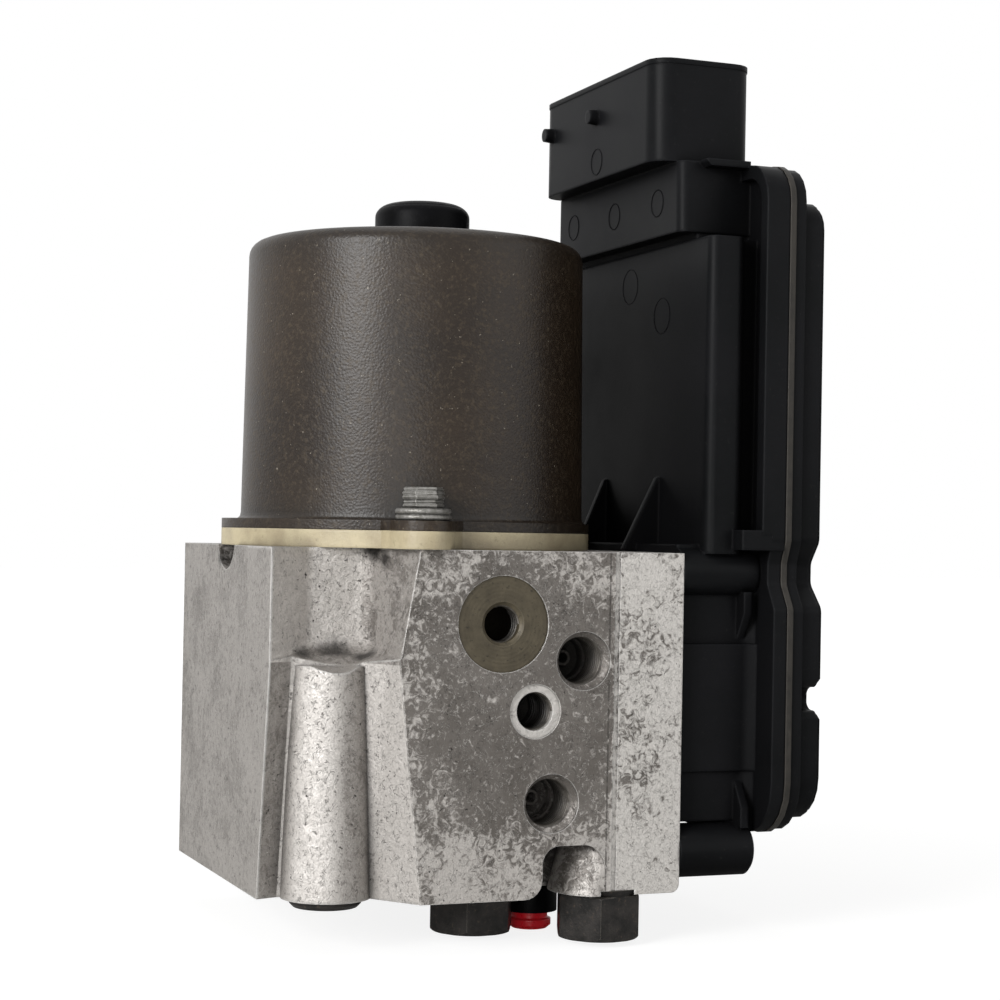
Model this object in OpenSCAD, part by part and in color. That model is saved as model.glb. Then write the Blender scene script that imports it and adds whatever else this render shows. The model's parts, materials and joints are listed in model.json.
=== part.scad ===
// Anti-lock brake module: a cast valve block, its pump motor on top and its controller at the side.
// Everything is drawn from the block's left, front and top faces, in millimetres.
// at_origin() then moves it, so that the mouth of the bracket thread in the port face is the origin.

/* [Block] */
// Width of the valve block across the port face
block_w = 95; // [90:0.5:105]
// Depth of the valve block from the port face to the back
block_d = 91; // [88:0.5:100]
// Height of the valve block
block_h = 77.5; // [76:0.5:85]
// Depth of the scooped pocket in the front left corner
pocket_h = 25; // [20:0.5:28]
// Radius of the damper column in the front left corner
column_r = 10; // [9.4:0.1:11]
// Width of the finished strip beside the controller
strip_w = 16; // [12:0.5:20]
// Depth of the drain notch in the left top edge
drain_depth = 5.7; // [4:0.1:7]
// Radius of the drain notch
drain_r = 8; // [7:0.1:9]

/* [Ports] */
// Radius of a brake line thread
port_r = 5.45; // [5:0.05:5.8]
// Length of a brake line thread
port_len = 12; // [10:0.5:14]
// Radius of the countersunk mouth of a brake line port
port_mouth_r = 6.6; // [6.2:0.1:7]
// Radius of the bracket thread in the port face
bracket_r = 4.35; // [4:0.05:4.8]
// Length of the bracket thread in the port face
bracket_len = 14; // [12:0.5:16]
// Radius of the spot face round the bracket thread
spot_r = 6.05; // [5.6:0.05:7]

/* [Pump] */
// Radius of the steel plug that closes a pump
plug_r = 10.75; // [10.4:0.05:11]
// Thickness of the pump plug
plug_t = 8; // [7:0.5:9]
// Radius of the thread in the middle of the pump plug
plug_thread_r = 4.2; // [3.8:0.05:4.6]
// Sideways step from the pump piston to its plug
plug_step = 4.8; // [4.6:0.1:5]
// Depth of the pump axis below the top of the block
pump_depth = 16.3; // [15.5:0.1:17]
// Radius of a pump piston
piston_r = 3.5; // [3:0.1:3.8]
// Outer radius of a pump sleeve
sleeve_r = 5.5; // [5.2:0.1:5.7]
// Gap between a pump sleeve and its plug
plug_gap = 2; // [1.5:0.1:3]
// Throw of the eccentric
throw = 1; // [0.8:0.1:1.2]
// Outer radius of the ring on the eccentric
ring_r = 9; // [8.6:0.1:9.4]
// Radius of the eccentric journal
journal_r = 6.4; // [6.2:0.1:6.8]

/* [Accumulators] */
// Width across flats of a hex plug
hex_af = 18; // [17:0.1:19]
// Height of the hex on a hex plug
hex_h = 9.6; // [8:0.1:11]
// Radius of an accumulator piston
acc_r = 5.4; // [4.8:0.1:5.8]
// Length of an accumulator piston
acc_len = 6; // [5:0.5:7]
// Travel of an accumulator piston
acc_travel = 7; // [5:0.5:7]
// Thread radius of a hex plug
acc_thread_r = 6.2; // [6:0.1:6.6]

/* [Motor] */
// Radius of the motor can at its foot
can_r = 41.1; // [40:0.1:42]
// Radius of the motor can at its top
can_top_r = 40.3; // [39.5:0.1:41]
// Height of the can's top above the block
can_top = 72.6; // [71:0.1:76]
// Thickness of the can's sheet
can_t = 1.8; // [1.5:0.1:2.2]
// Radius of the can's foot flange
flange_r = 44.2; // [43.8:0.1:44.6]
// Thickness of the can's foot flange
flange_t = 2.3; // [2:0.1:2.8]
// Thickness of the cream end plate
plate_t = 4; // [3:0.1:5]
// Radius of the rubber cap
cap_r = 11; // [10.6:0.1:12]
// Height of the rubber cap's top above the block
cap_top = 82.6; // [81.5:0.1:85]
// Distance of the motor bolts from the motor axis
bolt_pcd_r = 46.9; // [46.8:0.1:47.4]
// Radius of the armature core
core_r = 28.5; // [26:0.5:29]
// Height of the armature core
core_h = 34; // [30:1:36]
// Inner radius of the magnets
magnet_r = 29.2; // [29.1:0.1:32]
// Radius of the shaft
shaft_r = 5; // [4.6:0.1:5.4]
// Radius of the commutator
commutator_r = 12; // [10:0.5:13]

/* [Controller] */
// Height of the connector's rim above the block
conn_top = 116.3; // [110:0.1:120]
// Wall thickness of the controller housing
wall = 2.2; // [1.8:0.1:2.6]
// Thickness of the gasket
gasket_t = 1.5; // [1.2:0.1:2]
// Thickness of the cover's flange
cover_flange_t = 2.9; // [2:0.1:3.5]
// Height of the cover's raised panel over its flange
cover_rise = 6.2; // [5:0.1:7]
// Thickness of the circuit board
board_t = 1.6; // [1.2:0.1:2]
// Number of terminals in a row of the connector
pins = 13; // [8:1:14]
// Width of a terminal
pin_w = 1; // [0.8:0.1:1.5]
// Radius of a solenoid coil
coil_r = 9; // [8:0.1:9.6]
// Length of a solenoid coil
coil_len = 12; // [10:0.5:12.5]
// Radius of a valve body
valve_r = 5; // [4.6:0.1:5.4]
// Radius of a valve's dome
dome_r = 3.4; // [3.2:0.1:3.8]
// Travel of a valve's armature
valve_travel = 0.3; // [0.2:0.05:0.4]

/* [Clearances] */
// Gap of a part that turns or slides in its bore, on the radius
run_gap = 0.05; // [0.02:0.01:0.09]
// Gap between parts that only stand beside each other
loose_gap = 0.3; // [0.2:0.05:0.5]

/* [Hidden] */
$fn = 48;
eps = 0.01;
over = 1;

// The bracket thread, in X and Z, and how far its spot face is sunk
bracket_at = [block_w - 36.4, -35.7];
spot_deep = 0.5;

// The motor stands over the drain notch, behind the block's middle
motor_x = block_w / 2 - 1.7;
motor_y = block_d / 2 + 4;
plug_x = motor_x + plug_step;

// The controller is centred on the block's depth
ctrl_y = block_d / 2;

module at_origin() {
    translate([-bracket_at.x, -spot_deep, -bracket_at.y]) children();
}

// Points of a closed outline with an arc of radius r at each corner
function unit(v) = v / norm(v);
function arc_at(p, q, s, r, n) =
    let (a = unit(p - q), b = unit(s - q),
         half = acos(a * b) / 2,
         c = q + unit(a + b) * r / sin(half),
         from = q + a * r / tan(half) - c,
         to = q + b * r / tan(half) - c,
         a0 = atan2(from.y, from.x),
         turn0 = atan2(to.y, to.x) - a0,
         turn = turn0 > 180 ? turn0 - 360 : turn0 < -180 ? turn0 + 360 : turn0)
    [for (i = [0 : n]) c + r * [cos(a0 + turn * i / n), sin(a0 + turn * i / n)]];
function rounded(pts, radii, n = 6) =
    let (m = len(pts))
    [for (i = [0 : m - 1])
        let (p = pts[(i + m - 1) % m], s = pts[(i + 1) % m])
        each (radii[i] > 0 ? arc_at(p, pts[i], s, radii[i], n) : [pts[i]])];
function all_round(pts, r, n = 6) = rounded(pts, [for (p = pts) r], n);

// A plan outline pulled up in Z, and a side outline in Y and Z pulled along X
module up(z0, z1) {
    translate([0, 0, z0]) linear_extrude(z1 - z0) children();
}
module along_x(x0, x1) {
    translate([x0, 0, 0]) rotate([90, 0, 90]) linear_extrude(x1 - x0) children();
}
module box(lo, hi) {
    translate(lo) cube(hi - lo);
}
// A cylinder along Y or X, from one station to another
module rod_y(x, z, y0, y1, r, r2 = -1) {
    translate([x, y0, z]) rotate([-90, 0, 0]) cylinder(h = y1 - y0, r1 = r, r2 = r2 < 0 ? r : r2);
}
module rod_x(y, z, x0, x1, r, r2 = -1) {
    translate([x0, y, z]) rotate([0, 90, 0]) cylinder(h = x1 - x0, r1 = r, r2 = r2 < 0 ? r : r2);
}
module rod_z(x, y, z0, z1, r, r2 = -1) {
    translate([x, y, z0]) cylinder(h = z1 - z0, r1 = r, r2 = r2 < 0 ? r : r2);
}
// A hexagonal bar with a corner towards the turn angle
module hex_bar(af, h, turn) {
    rotate([0, 0, turn]) cylinder(h = h, r = af / sqrt(3), $fn = 6);
}
// The rear pump is the front pump turned half round the motor axis
module at_pump(rear) {
    translate([motor_x, motor_y, -pump_depth]) rotate([0, 0, rear ? 180 : 0]) children();
}
// A helical spring along Z, of a round wire
spring_steps = 14;
wire_sides = 8;
module helix(r, wire_r, length, turns) {
    rise = length - 2 * wire_r;
    count = spring_steps * turns;
    rings = [for (i = [0 : count])
        let (a = 360 * i / spring_steps, c = [r * cos(a), r * sin(a), wire_r + rise * i / count])
        [for (k = [0 : wire_sides - 1])
            let (b = 360 * k / wire_sides)
            c + wire_r * [cos(b) * cos(a), cos(b) * sin(a), sin(b)]]];
    polyhedron(
        points = [for (ring = rings) each ring],
        faces = concat(
            [[for (k = [0 : wire_sides - 1]) k]],
            [for (i = [0 : count - 1]) for (k = [0 : wire_sides - 1])
                let (n = (k + 1) % wire_sides, o = i * wire_sides)
                [o + k, o + wire_sides + k, o + wire_sides + n, o + n]],
            [[for (k = [wire_sides - 1 : -1 : 0]) count * wire_sides + k]]));
}

// Ports in the front face, and the same turned round for the rear circuit
port_a = [block_w - 24.9, -24.5];
port_b = [block_w - 32.2, -56.3];
port_drill = 4;
nipple_r = 3;
seat_depth = 3;

// Valve stations in the right face: depth along Y from the controller's middle, and height
valve_dy = 21.5;
valve_hi = -24;
valve_lo = -50;
valve_at = [[ctrl_y - valve_dy, valve_hi], [ctrl_y - valve_dy, valve_lo],
            [ctrl_y + valve_dy, valve_hi], [ctrl_y + valve_dy, valve_lo]];
valve_depth = 22;

// Accumulators, damper and vent in the underside
acc_at = [[block_w - 15.9, 10], [motor_x + 8, 25.3]];
acc_seat = -76.4;
acc_boss_r = 12;
collar_h = 2.2;
collar_r = 10.2;
hex_turns = [-110, -116];
thread_len = 6.4;
acc_top = acc_seat + thread_len + acc_travel + acc_len + 6;
damper_at = [15.5, 16];
damper_r = 6.4;
damper_plug_r = 8;
damper_plug_h = 5;
damper_drop = 1.9;
damper_top = -48;
gallery_step = 4;
vent_at = [block_w - 24.1, 31.2];
vent_r = 3;
vent_stem_r = 4.2;
vent_stem_h = 5;
vent_collar_r = 6.5;
vent_collar_h = 7.8;

// Motor bolts: angles round the motor axis, the first over the front left pocket
bolt_angles = [253.9, 46.1];
bolt_r = 2.4;
bolt_deep = 13;
ear_r = 7;
foot_shift = 1.4;
foot_turn = 158;

// Bearings and the cam chamber
lower_bearing_r = 13;
lower_bearing_h = 8;
chamber_r = 11.5;
chamber_floor = -26;
web = 15.5;
sleeve_len = block_d - motor_y - plug_t - plug_gap - web;
piston_len = sleeve_len - 1;
upper_bearing_r = 6.5;
upper_bearing_h = 5;
upper_shaft_r = 3;

// Controller screws: stations in Y and Z
rim_half = block_d / 2 + 4.5;
screw_dy = rim_half - 10.3;
screw_hi = -4.2;
screw_lo = -68.7;
screw_at = [[ctrl_y - screw_dy, screw_hi], [ctrl_y - screw_dy, screw_lo],
            [ctrl_y + screw_dy, screw_hi], [ctrl_y + screw_dy, screw_lo]];
screw_r = 2;
screw_deep = 8;
screw_head_r = 3.3;
screw_head_h = 3;

module block_pocket() {
    // a scoop that opens to the front and the left, with a rounded floor that falls to the front
    floor_z = -pocket_h;
    hull() {
        for (c = [[12.5, 14.8, 4], [21.5, 14, 4.5]]) {
            translate([c.x, c.y, over]) cylinder(h = eps, r = c.z, $fn = 32);
            translate([c.x, c.y, floor_z + c.z + 1]) sphere(r = c.z, $fn = 32);
        }
        translate([-over, 9, floor_z]) cylinder(h = pocket_h + over, r = eps, $fn = 16);
        translate([31.2, -over, over]) cylinder(h = eps, r = eps, $fn = 16);
        translate([26.8, -over, floor_z + 1]) cylinder(h = eps, r = eps, $fn = 16);
        translate([14, 3, floor_z - 3]) sphere(r = 1, $fn = 16);
        translate([-over, -over, floor_z]) cylinder(h = pocket_h + over, r = eps, $fn = 16);
    }
}
module corner_cut() {
    // the corner under the pocket, with casting draft
    top_z = -pocket_h + 4;
    hull() {
        up(top_z, top_z + eps)
            polygon([[-over, -over], [-over, 8.6], [0, 8.8], [6, 13], [21, 9], [26.2, 0], [26.2, -over]]);
        up(-block_h - over, -block_h)
            polygon([[-over, -over], [-over, 16.2], [0, 16.8], [5, 18.5], [24, 11.5],
                     [32.3, 0], [32.3, -over]]);
    }
}
module damper_column() {
    rod_z(damper_at.x, damper_at.y, -block_h, -pocket_h - 1, column_r, column_r - 0.9);
}
module plug_recess() {
    // the arched relief in the front face beside the front accumulator's plug
    depth = 17;
    left = block_w - 34;
    right = block_w - 20.5;
    arch = rounded([[left - 8, -block_h - over], [left - 8, -block_h], [left, -block_h], [left, -65.8],
                    [right, -65.8], [right + 4.2, -block_h], [right + 12, -block_h],
                    [right + 12, -block_h - over]],
                   [0, 0, 4.2, 4, 5, 5, 0, 0]);
    difference() {
        translate([0, depth, 0]) rotate([90, 0, 0]) linear_extrude(depth + over) polygon(arch);
        rod_z(acc_at[0].x, acc_at[0].y, -block_h - over, -64, acc_boss_r, 8.5);
    }
}
module lower_edge() {
    // the rounded lower edge of the face that carries the controller
    r = 2;
    difference() {
        box([block_w - r, -over, -block_h - over], [block_w + over, block_d + over, -block_h + r]);
        rod_y(block_w - r, -block_h + r, -2 * over, block_d + 2 * over, r);
    }
}
module port_bore(x, z) {
    // thread, countersunk mouth and a flare seat that stands at the bottom
    rod_y(x, z, -over, 0.8, port_mouth_r);
    rod_y(x, z, 0.8 - eps, 0.8 + port_mouth_r - port_r, port_mouth_r, port_r);
    rod_y(x, z, 0, port_len, port_r);
    difference() {
        rod_y(x, z, port_len - eps, port_len + seat_depth, port_r - 0.6);
        rod_y(x, z, port_len, port_len + seat_depth + over, nipple_r * 0.6, nipple_r);
    }
    rod_y(x, z, port_len - 1, port_len + seat_depth + port_drill, 1.2);
}
module bracket_bore() {
    rod_y(bracket_at.x, bracket_at.y, -over, spot_deep, spot_r);
    rod_y(bracket_at.x, bracket_at.y, spot_deep - eps, spot_deep + bracket_len, bracket_r);
    foot = spot_deep + bracket_len;
    rod_y(bracket_at.x, bracket_at.y, foot - eps, foot + 2, bracket_r, 0.4);
}
module pump_bores(face) {
    // from the motor axis outwards: piston hole, sleeve seat, damping chamber and plug seat
    rod_y(0, 0, -web - over, -chamber_r + over, piston_r + 0.2);
    rod_y(0, 0, -web - sleeve_len, -web, sleeve_r + eps);
    rod_y(plug_step, 0, -face + plug_t - eps, -web - sleeve_len + eps, plug_r - 1.2);
    rod_y(plug_step, 0, -face - over, -face + plug_t, plug_r + eps);
}
module valve_bore(y, z) {
    rod_x(y, z, block_w - valve_depth, block_w + over, valve_r + eps);
    rod_x(y, z, block_w - valve_depth - 5, block_w - valve_depth + eps, 2);
}
module acc_bore(x, y) {
    rod_z(x, y, acc_top - over, acc_top + 3, 1.4);
    rod_z(x, y, acc_seat - over, acc_top, acc_r + run_gap);
    rod_z(x, y, acc_seat - eps, acc_seat + thread_len + 0.6, acc_thread_r + eps);
    rod_z(x, y, -block_h - 2, acc_seat, collar_r + 0.5);
}
module galleries() {
    // front accumulator: up beside its middle, then across to the chamber behind the front plug
    front_y = acc_at[0].y + gallery_step;
    rod_z(acc_at[0].x, front_y, acc_top - eps, -pump_depth, 1.2);
    rod_x(front_y, -pump_depth, plug_x, acc_at[0].x, 1.2);
    // rear accumulator: up, back under the cam chamber, and up to the chamber behind the rear plug
    rear_x = acc_at[1].x - gallery_step;
    rear_y = block_d - plug_t - 5;
    rod_z(rear_x, acc_at[1].y, acc_top - eps, chamber_floor - 4, 1.2);
    rod_y(rear_x, chamber_floor - 4, acc_at[1].y, rear_y, 1.2);
    rod_z(rear_x, rear_y, chamber_floor - 4, -pump_depth, 1.2);
    // ports across to their valves
    rod_y(port_b.x, port_b.y, port_len, ctrl_y - valve_dy, 1.2);
    rod_x(ctrl_y - valve_dy, port_b.y, port_b.x - 1, block_w - valve_depth - 3, 1.2);
    rod_z(block_w - valve_depth - 3, ctrl_y - valve_dy, port_b.y - 1, valve_hi, 1.2);
    rod_y(port_a.x, port_a.y, port_len, ctrl_y - valve_dy, 1.2);
}
module hydraulic_block() color("darkgray") at_origin() {
    difference() {
        union() {
            difference() {
                box([0, 0, -block_h], [block_w, block_d, 0]);
                corner_cut();
            }
            damper_column();
        }
        block_pocket();
        plug_recess();
        lower_edge();
        // finished strip beside the controller, behind a shallow groove
        box([block_w - strip_w, -over, -block_h - over], [block_w + over, 0.35, over]);
        box([block_w - strip_w - 1.2, -over, -block_h - over], [block_w - strip_w, 0.6, over]);
        // drain notch
        rod_x(motor_y, drain_r - drain_depth, -over, motor_x - chamber_r, drain_r);
        // motor register, lower bearing seat and cam chamber
        rod_z(motor_x, motor_y, -lower_bearing_h - 0.5, over, lower_bearing_r + eps);
        rod_z(motor_x, motor_y, chamber_floor, 0, chamber_r);
        for (a = bolt_angles)
            rod_z(motor_x + bolt_pcd_r * cos(a), motor_y + bolt_pcd_r * sin(a),
                  -bolt_deep - 1, over, bolt_r + run_gap);
        // ports, and their twins at the back, turned round the motor axis
        port_bore(port_a.x, port_a.y);
        port_bore(port_b.x, port_b.y);
        translate([2 * motor_x, block_d, 0]) rotate([0, 0, 180]) {
            port_bore(port_a.x, port_a.y);
            port_bore(port_b.x, port_b.y);
        }
        bracket_bore();
        at_pump(false) pump_bores(motor_y);
        at_pump(true) pump_bores(block_d - motor_y);
        for (v = valve_at) valve_bore(v.x, v.y);
        for (a = acc_at) acc_bore(a.x, a.y);
        rod_z(damper_at.x, damper_at.y, -block_h - over, -block_h - damper_drop + damper_plug_h,
              damper_plug_r + eps);
        rod_z(damper_at.x, damper_at.y, -block_h - over, damper_top, damper_r);
        rod_z(vent_at.x, vent_at.y, -block_h - over, -block_h + vent_stem_h, vent_stem_r + eps);
        rod_z(vent_at.x, vent_at.y, -block_h - over, -block_h + vent_stem_h + 8, vent_r);
        for (s = screw_at) rod_x(s.x, s.y, block_w - screw_deep - 1, block_w + over, screw_r + run_gap);
        galleries();
    }
}

// A pump plug is recessed a hair below the face, with a chamfered thread in its middle
plug_inset = 0.4;
thread_chamfer = 0.8;
module pump_plug(face) {
    difference() {
        rod_y(plug_step, 0, -face + plug_inset, -face + plug_t, plug_r);
        rod_y(plug_step, 0, -face - over, -face + plug_t - 1.5, plug_thread_r);
        rod_y(plug_step, 0, -face + plug_inset - eps, -face + plug_inset + thread_chamfer,
              plug_thread_r + thread_chamfer, plug_thread_r);
    }
}
module pump_plugs() color([0.36, 0.34, 0.29]) at_origin() {
    at_pump(false) pump_plug(motor_y);
    at_pump(true) pump_plug(block_d - motor_y);
}
sleeve_end = 2.5;
module pump_sleeve() {
    difference() {
        rod_y(0, 0, -web - sleeve_len, -web, sleeve_r);
        rod_y(0, 0, -web - sleeve_len + sleeve_end, -web + over, piston_r + run_gap);
        rod_y(0, 0, -web - sleeve_len - over, -web, 1.2);
    }
}
module pump_sleeves() color("lightgray") at_origin() {
    at_pump(false) pump_sleeve();
    at_pump(true) pump_sleeve();
}
// A piston rests clear of the whole sweep of the ring and can follow it inwards by the throw
piston_tip = ring_r + throw + run_gap;
module pump_piston() {
    rod_y(0, 0, -piston_tip - 1, -piston_tip, piston_r, piston_r - 0.8);
    rod_y(0, 0, -piston_tip - piston_len, -piston_tip - 1, piston_r);
}
module front_pump_piston() color("silver") at_origin() at_pump(false) pump_piston();
module rear_pump_piston() color("silver") at_origin() at_pump(true) pump_piston();
pump_spring_wire = 0.35;
module pump_spring() {
    start = web + sleeve_len - sleeve_end;
    length = start - piston_tip - piston_len;
    translate([0, -start, 0]) rotate([-90, 0, 0]) helix(piston_r - 0.7, pump_spring_wire, length, 4);
}
module front_pump_spring() color("gray") at_origin() at_pump(false) pump_spring();
module rear_pump_spring() color("gray") at_origin() at_pump(true) pump_spring();

module hex_plug(turn) {
    foot = -collar_h - hex_h;
    flat_r = hex_af / 2;
    difference() {
        union() {
            // the hex with both ends chamfered, then the collar and the threaded stem
            intersection() {
                translate([0, 0, foot]) hex_bar(hex_af, hex_h + 0.5, turn);
                rotate_extrude()
                    polygon([[0, foot - over], [flat_r - 1, foot - over], [flat_r + 2.6, foot + 2.1],
                             [flat_r + 2.6, -collar_h - 1.6], [flat_r - 0.8, over], [0, over]]);
            }
            rod_z(0, 0, -collar_h, 0, flat_r - 0.3, collar_r);
            rod_z(0, 0, -eps, thread_len, acc_thread_r);
        }
        rod_z(0, 0, thread_len - 2, thread_len + over, acc_r - 1);
    }
}
module hex_plugs() color([0.16, 0.15, 0.15]) at_origin() {
    for (i = [0, 1]) translate([acc_at[i].x, acc_at[i].y, acc_seat]) hex_plug(hex_turns[i]);
}
// An accumulator is empty at rest, so its piston stands at the top of its bore
module acc_piston(at) {
    translate([at.x, at.y, acc_top - loose_gap - acc_len])
    difference() {
        cylinder(h = acc_len, r = acc_r);
        translate([0, 0, -eps]) cylinder(h = acc_len - 2, r = acc_r - 1.4);
    }
}
module front_accumulator_piston() color("dimgray") at_origin() acc_piston(acc_at[0]);
module rear_accumulator_piston() color("dimgray") at_origin() acc_piston(acc_at[1]);
acc_spring_wire = 0.4;
module acc_spring(at) {
    low = acc_seat + thread_len - 2;
    high = acc_top - loose_gap - 2;
    translate([at.x, at.y, low]) helix(acc_r - 2, acc_spring_wire, high - low, 6);
}
module front_accumulator_spring() color("gray") at_origin() acc_spring(acc_at[0]);
module rear_accumulator_spring() color("gray") at_origin() acc_spring(acc_at[1]);

module damper_plug() color([0.12, 0.12, 0.12]) at_origin() {
    translate([damper_at.x, damper_at.y, -block_h - damper_drop]) {
        cylinder(h = 0.8, r1 = damper_plug_r - 0.8, r2 = damper_plug_r);
        translate([0, 0, 0.8]) cylinder(h = damper_plug_h - 0.8, r = damper_plug_r);
    }
}
vent_plug_stem_r = 2.6;
vent_lip_r = 5.1;
vent_neck_r = 4.3;
vent_plug_h = 4.2;
module vent_collar() color([0.1, 0.1, 0.1]) at_origin() {
    translate([vent_at.x, vent_at.y, -block_h])
    difference() {
        union() {
            cylinder(h = vent_stem_h, r = vent_stem_r);
            translate([0, 0, -vent_collar_h]) cylinder(h = vent_collar_h, r = vent_collar_r);
        }
        translate([0, 0, -vent_collar_h - over])
            cylinder(h = vent_collar_h + vent_stem_h + 2 * over, r = vent_plug_stem_r + eps);
    }
}
module vent_plug() color([0.78, 0.05, 0.1]) at_origin() {
    translate([vent_at.x, vent_at.y, -block_h - vent_collar_h]) {
        cylinder(h = 6, r = vent_plug_stem_r);
        translate([0, 0, -1.6]) cylinder(h = 1.6, r = vent_neck_r);
        translate([0, 0, -2]) cylinder(h = 0.4, r1 = vent_lip_r, r2 = vent_neck_r);
        translate([0, 0, -3.4]) cylinder(h = 1.4, r = vent_lip_r);
        translate([0, 0, -vent_plug_h]) cylinder(h = 0.8, r1 = vent_lip_r - 0.9, r2 = vent_lip_r);
    }
}

// The foot outline: a round flange with an ear at each bolt
module foot_outline(r, ear) {
    translate([motor_x, motor_y]) {
        rotate(foot_turn) translate([foot_shift, 0]) circle(r = r);
        for (a = bolt_angles) rotate(a) {
            translate([bolt_pcd_r, 0]) circle(r = ear);
            translate([r - 8, -ear]) square([bolt_pcd_r - r + 8, 2 * ear]);
        }
    }
}
module foot_holes() {
    for (a = bolt_angles) rotate([0, 0, a])
        translate([bolt_pcd_r, 0, -over]) cylinder(h = 2 * plate_t + 2 * over, r = bolt_r + run_gap);
}
brush_w = 6;
brush_len = 11;
brush_z = 8.6;
holder_wall = 1.2;
module motor_end_plate() color([0.8, 0.76, 0.6]) at_origin() {
    difference() {
        up(0, plate_t) foot_outline(flange_r, ear_r);
        translate([motor_x, motor_y, -over]) cylinder(h = plate_t + 2 * over, r = lower_bearing_r);
        translate([motor_x, motor_y, 0]) foot_holes();
    }
    // brush boxes, open towards the commutator
    for (a = [45, 225]) translate([motor_x, motor_y, 0]) rotate([0, 0, a])
        difference() {
            box([lower_bearing_r + 1, -brush_w / 2 - holder_wall, plate_t - eps],
                [lower_bearing_r + 13, brush_w / 2 + holder_wall, brush_z + brush_w + holder_wall]);
            box([lower_bearing_r, -brush_w / 2 - run_gap, brush_z - run_gap],
                [lower_bearing_r + 11.5, brush_w / 2 + run_gap, brush_z + brush_w + run_gap]);
        }
}
module carbon_brushes() color([0.15, 0.15, 0.16]) at_origin() {
    for (a = [45, 225]) translate([motor_x, motor_y, 0]) rotate([0, 0, a])
        box([commutator_r + run_gap, -brush_w / 2, brush_z],
            [commutator_r + run_gap + brush_len, brush_w / 2, brush_z + brush_w]);
}

can_foot = plate_t;
shoulder_r = 3.5;
cup_r = upper_bearing_r + can_t;
cup_h = 5.2;
cap_shift = 1.3;
// Outer and inner profile of the drawn can: radius and height
function shoulder(r, z, k) = [for (a = [0 : 15 : 90]) [r - k + k * cos(a), z - k + k * sin(a)]];
function can_inner_r(z) = can_r - can_t + (can_top_r - can_r) * (z - can_foot) / (can_top - can_foot);
module motor_can() color([0.22, 0.19, 0.15]) at_origin() difference() {
    can_shell();
    // pressed hollows in the foot, clear of the washers
    at_bolts() translate([0, 0, can_foot + flange_t]) cylinder(h = 2 * washer_t + 1, r = washer_r + 0.15);
}
module can_shell() {
    up(can_foot, can_foot + flange_t) difference() {
        foot_outline(flange_r, ear_r);
        translate([motor_x, motor_y]) {
            circle(r = can_r - can_t);
            for (a = bolt_angles) rotate(a) translate([bolt_pcd_r, 0]) circle(r = bolt_r + run_gap);
        }
    }
    translate([motor_x, motor_y, 0])
    rotate_extrude($fn = 96) polygon(concat(
        [[can_r - can_t, can_foot + flange_t - eps], [can_r + 0.9, can_foot + flange_t - eps],
         [can_r + 0.25, can_foot + flange_t + 0.5], [can_r, can_foot + flange_t + 1.5]],
        shoulder(can_top_r, can_top, shoulder_r),
        [[cup_r + 1.5, can_top], [cup_r, can_top + 0.8], [cup_r, can_top + cup_h],
         [0, can_top + cup_h], [0, can_top + cup_h - can_t],
         [upper_bearing_r + eps, can_top + cup_h - can_t],
         [upper_bearing_r + eps, can_top - can_t]],
        [for (i = [6 : -1 : 0]) shoulder(can_top_r - can_t, can_top - can_t, shoulder_r - can_t)[i]]));
}
module motor_cap() color([0.07, 0.07, 0.07]) at_origin() {
    difference() {
        translate([motor_x + cap_shift, motor_y, 0])
            rotate_extrude($fn = 64) polygon(concat(
                [[0, can_top + 1.2], [cap_r, can_top + 1.2]], shoulder(cap_r, cap_top, 3), [[0, cap_top]]));
        rod_z(motor_x, motor_y, can_top, can_top + cup_h + 0.05, cup_r + 0.1);
    }
}
head_af = 9.1;
head_h = 4.8;
washer_r = 6.3;
washer_t = 1.4;
module motor_bolt() {
    seat = can_foot + flange_t + 2 * washer_t;
    translate([0, 0, seat]) hex_bar(head_af, head_h, 15);
    translate([0, 0, seat]) cylinder(h = 0.6, r = head_af / sqrt(3));
    translate([0, 0, -bolt_deep]) cylinder(h = seat + bolt_deep, r = bolt_r);
}
module at_bolts() {
    for (a = bolt_angles)
        translate([motor_x + bolt_pcd_r * cos(a), motor_y + bolt_pcd_r * sin(a), 0]) children();
}
module motor_bolts() color([0.55, 0.55, 0.53]) at_origin() at_bolts() motor_bolt();
module motor_washers() color([0.6, 0.6, 0.58]) at_origin() at_bolts() {
    for (i = [0, 1]) translate([0, 0, can_foot + flange_t + i * washer_t]) difference() {
        cylinder(h = washer_t - 0.1, r = washer_r - 0.2 * i);
        translate([0, 0, -over]) cylinder(h = washer_t + 2 * over, r = bolt_r + run_gap);
    }
}

core_z = 24;
magnet_z0 = 20;
magnet_h = 42;
module field_magnets() color([0.2, 0.2, 0.22]) at_origin() {
    z1 = magnet_z0 + magnet_h;
    translate([motor_x, motor_y, 0]) for (a = [25, 205]) rotate([0, 0, a])
        rotate_extrude(angle = 130, $fn = 72) polygon([
            [magnet_r, magnet_z0], [can_inner_r(magnet_z0) - 0.2, magnet_z0],
            [can_inner_r(z1) - 0.2, z1], [magnet_r, z1]]);
}
slots = 12;
slot_w = 5;
slot_deep = 12;
module armature_core() color([0.45, 0.46, 0.48]) at_origin() {
    translate([motor_x, motor_y, core_z]) linear_extrude(core_h) difference() {
        circle(r = core_r, $fn = 72);
        circle(r = shaft_r);
        for (i = [0 : slots - 1]) rotate(360 / slots * i) {
            translate([core_r - slot_deep, -slot_w / 2]) square([slot_deep - 2, slot_w]);
            translate([core_r - 3, -1]) square([4, 2]);
        }
    }
}
coil_end = 6;
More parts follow.
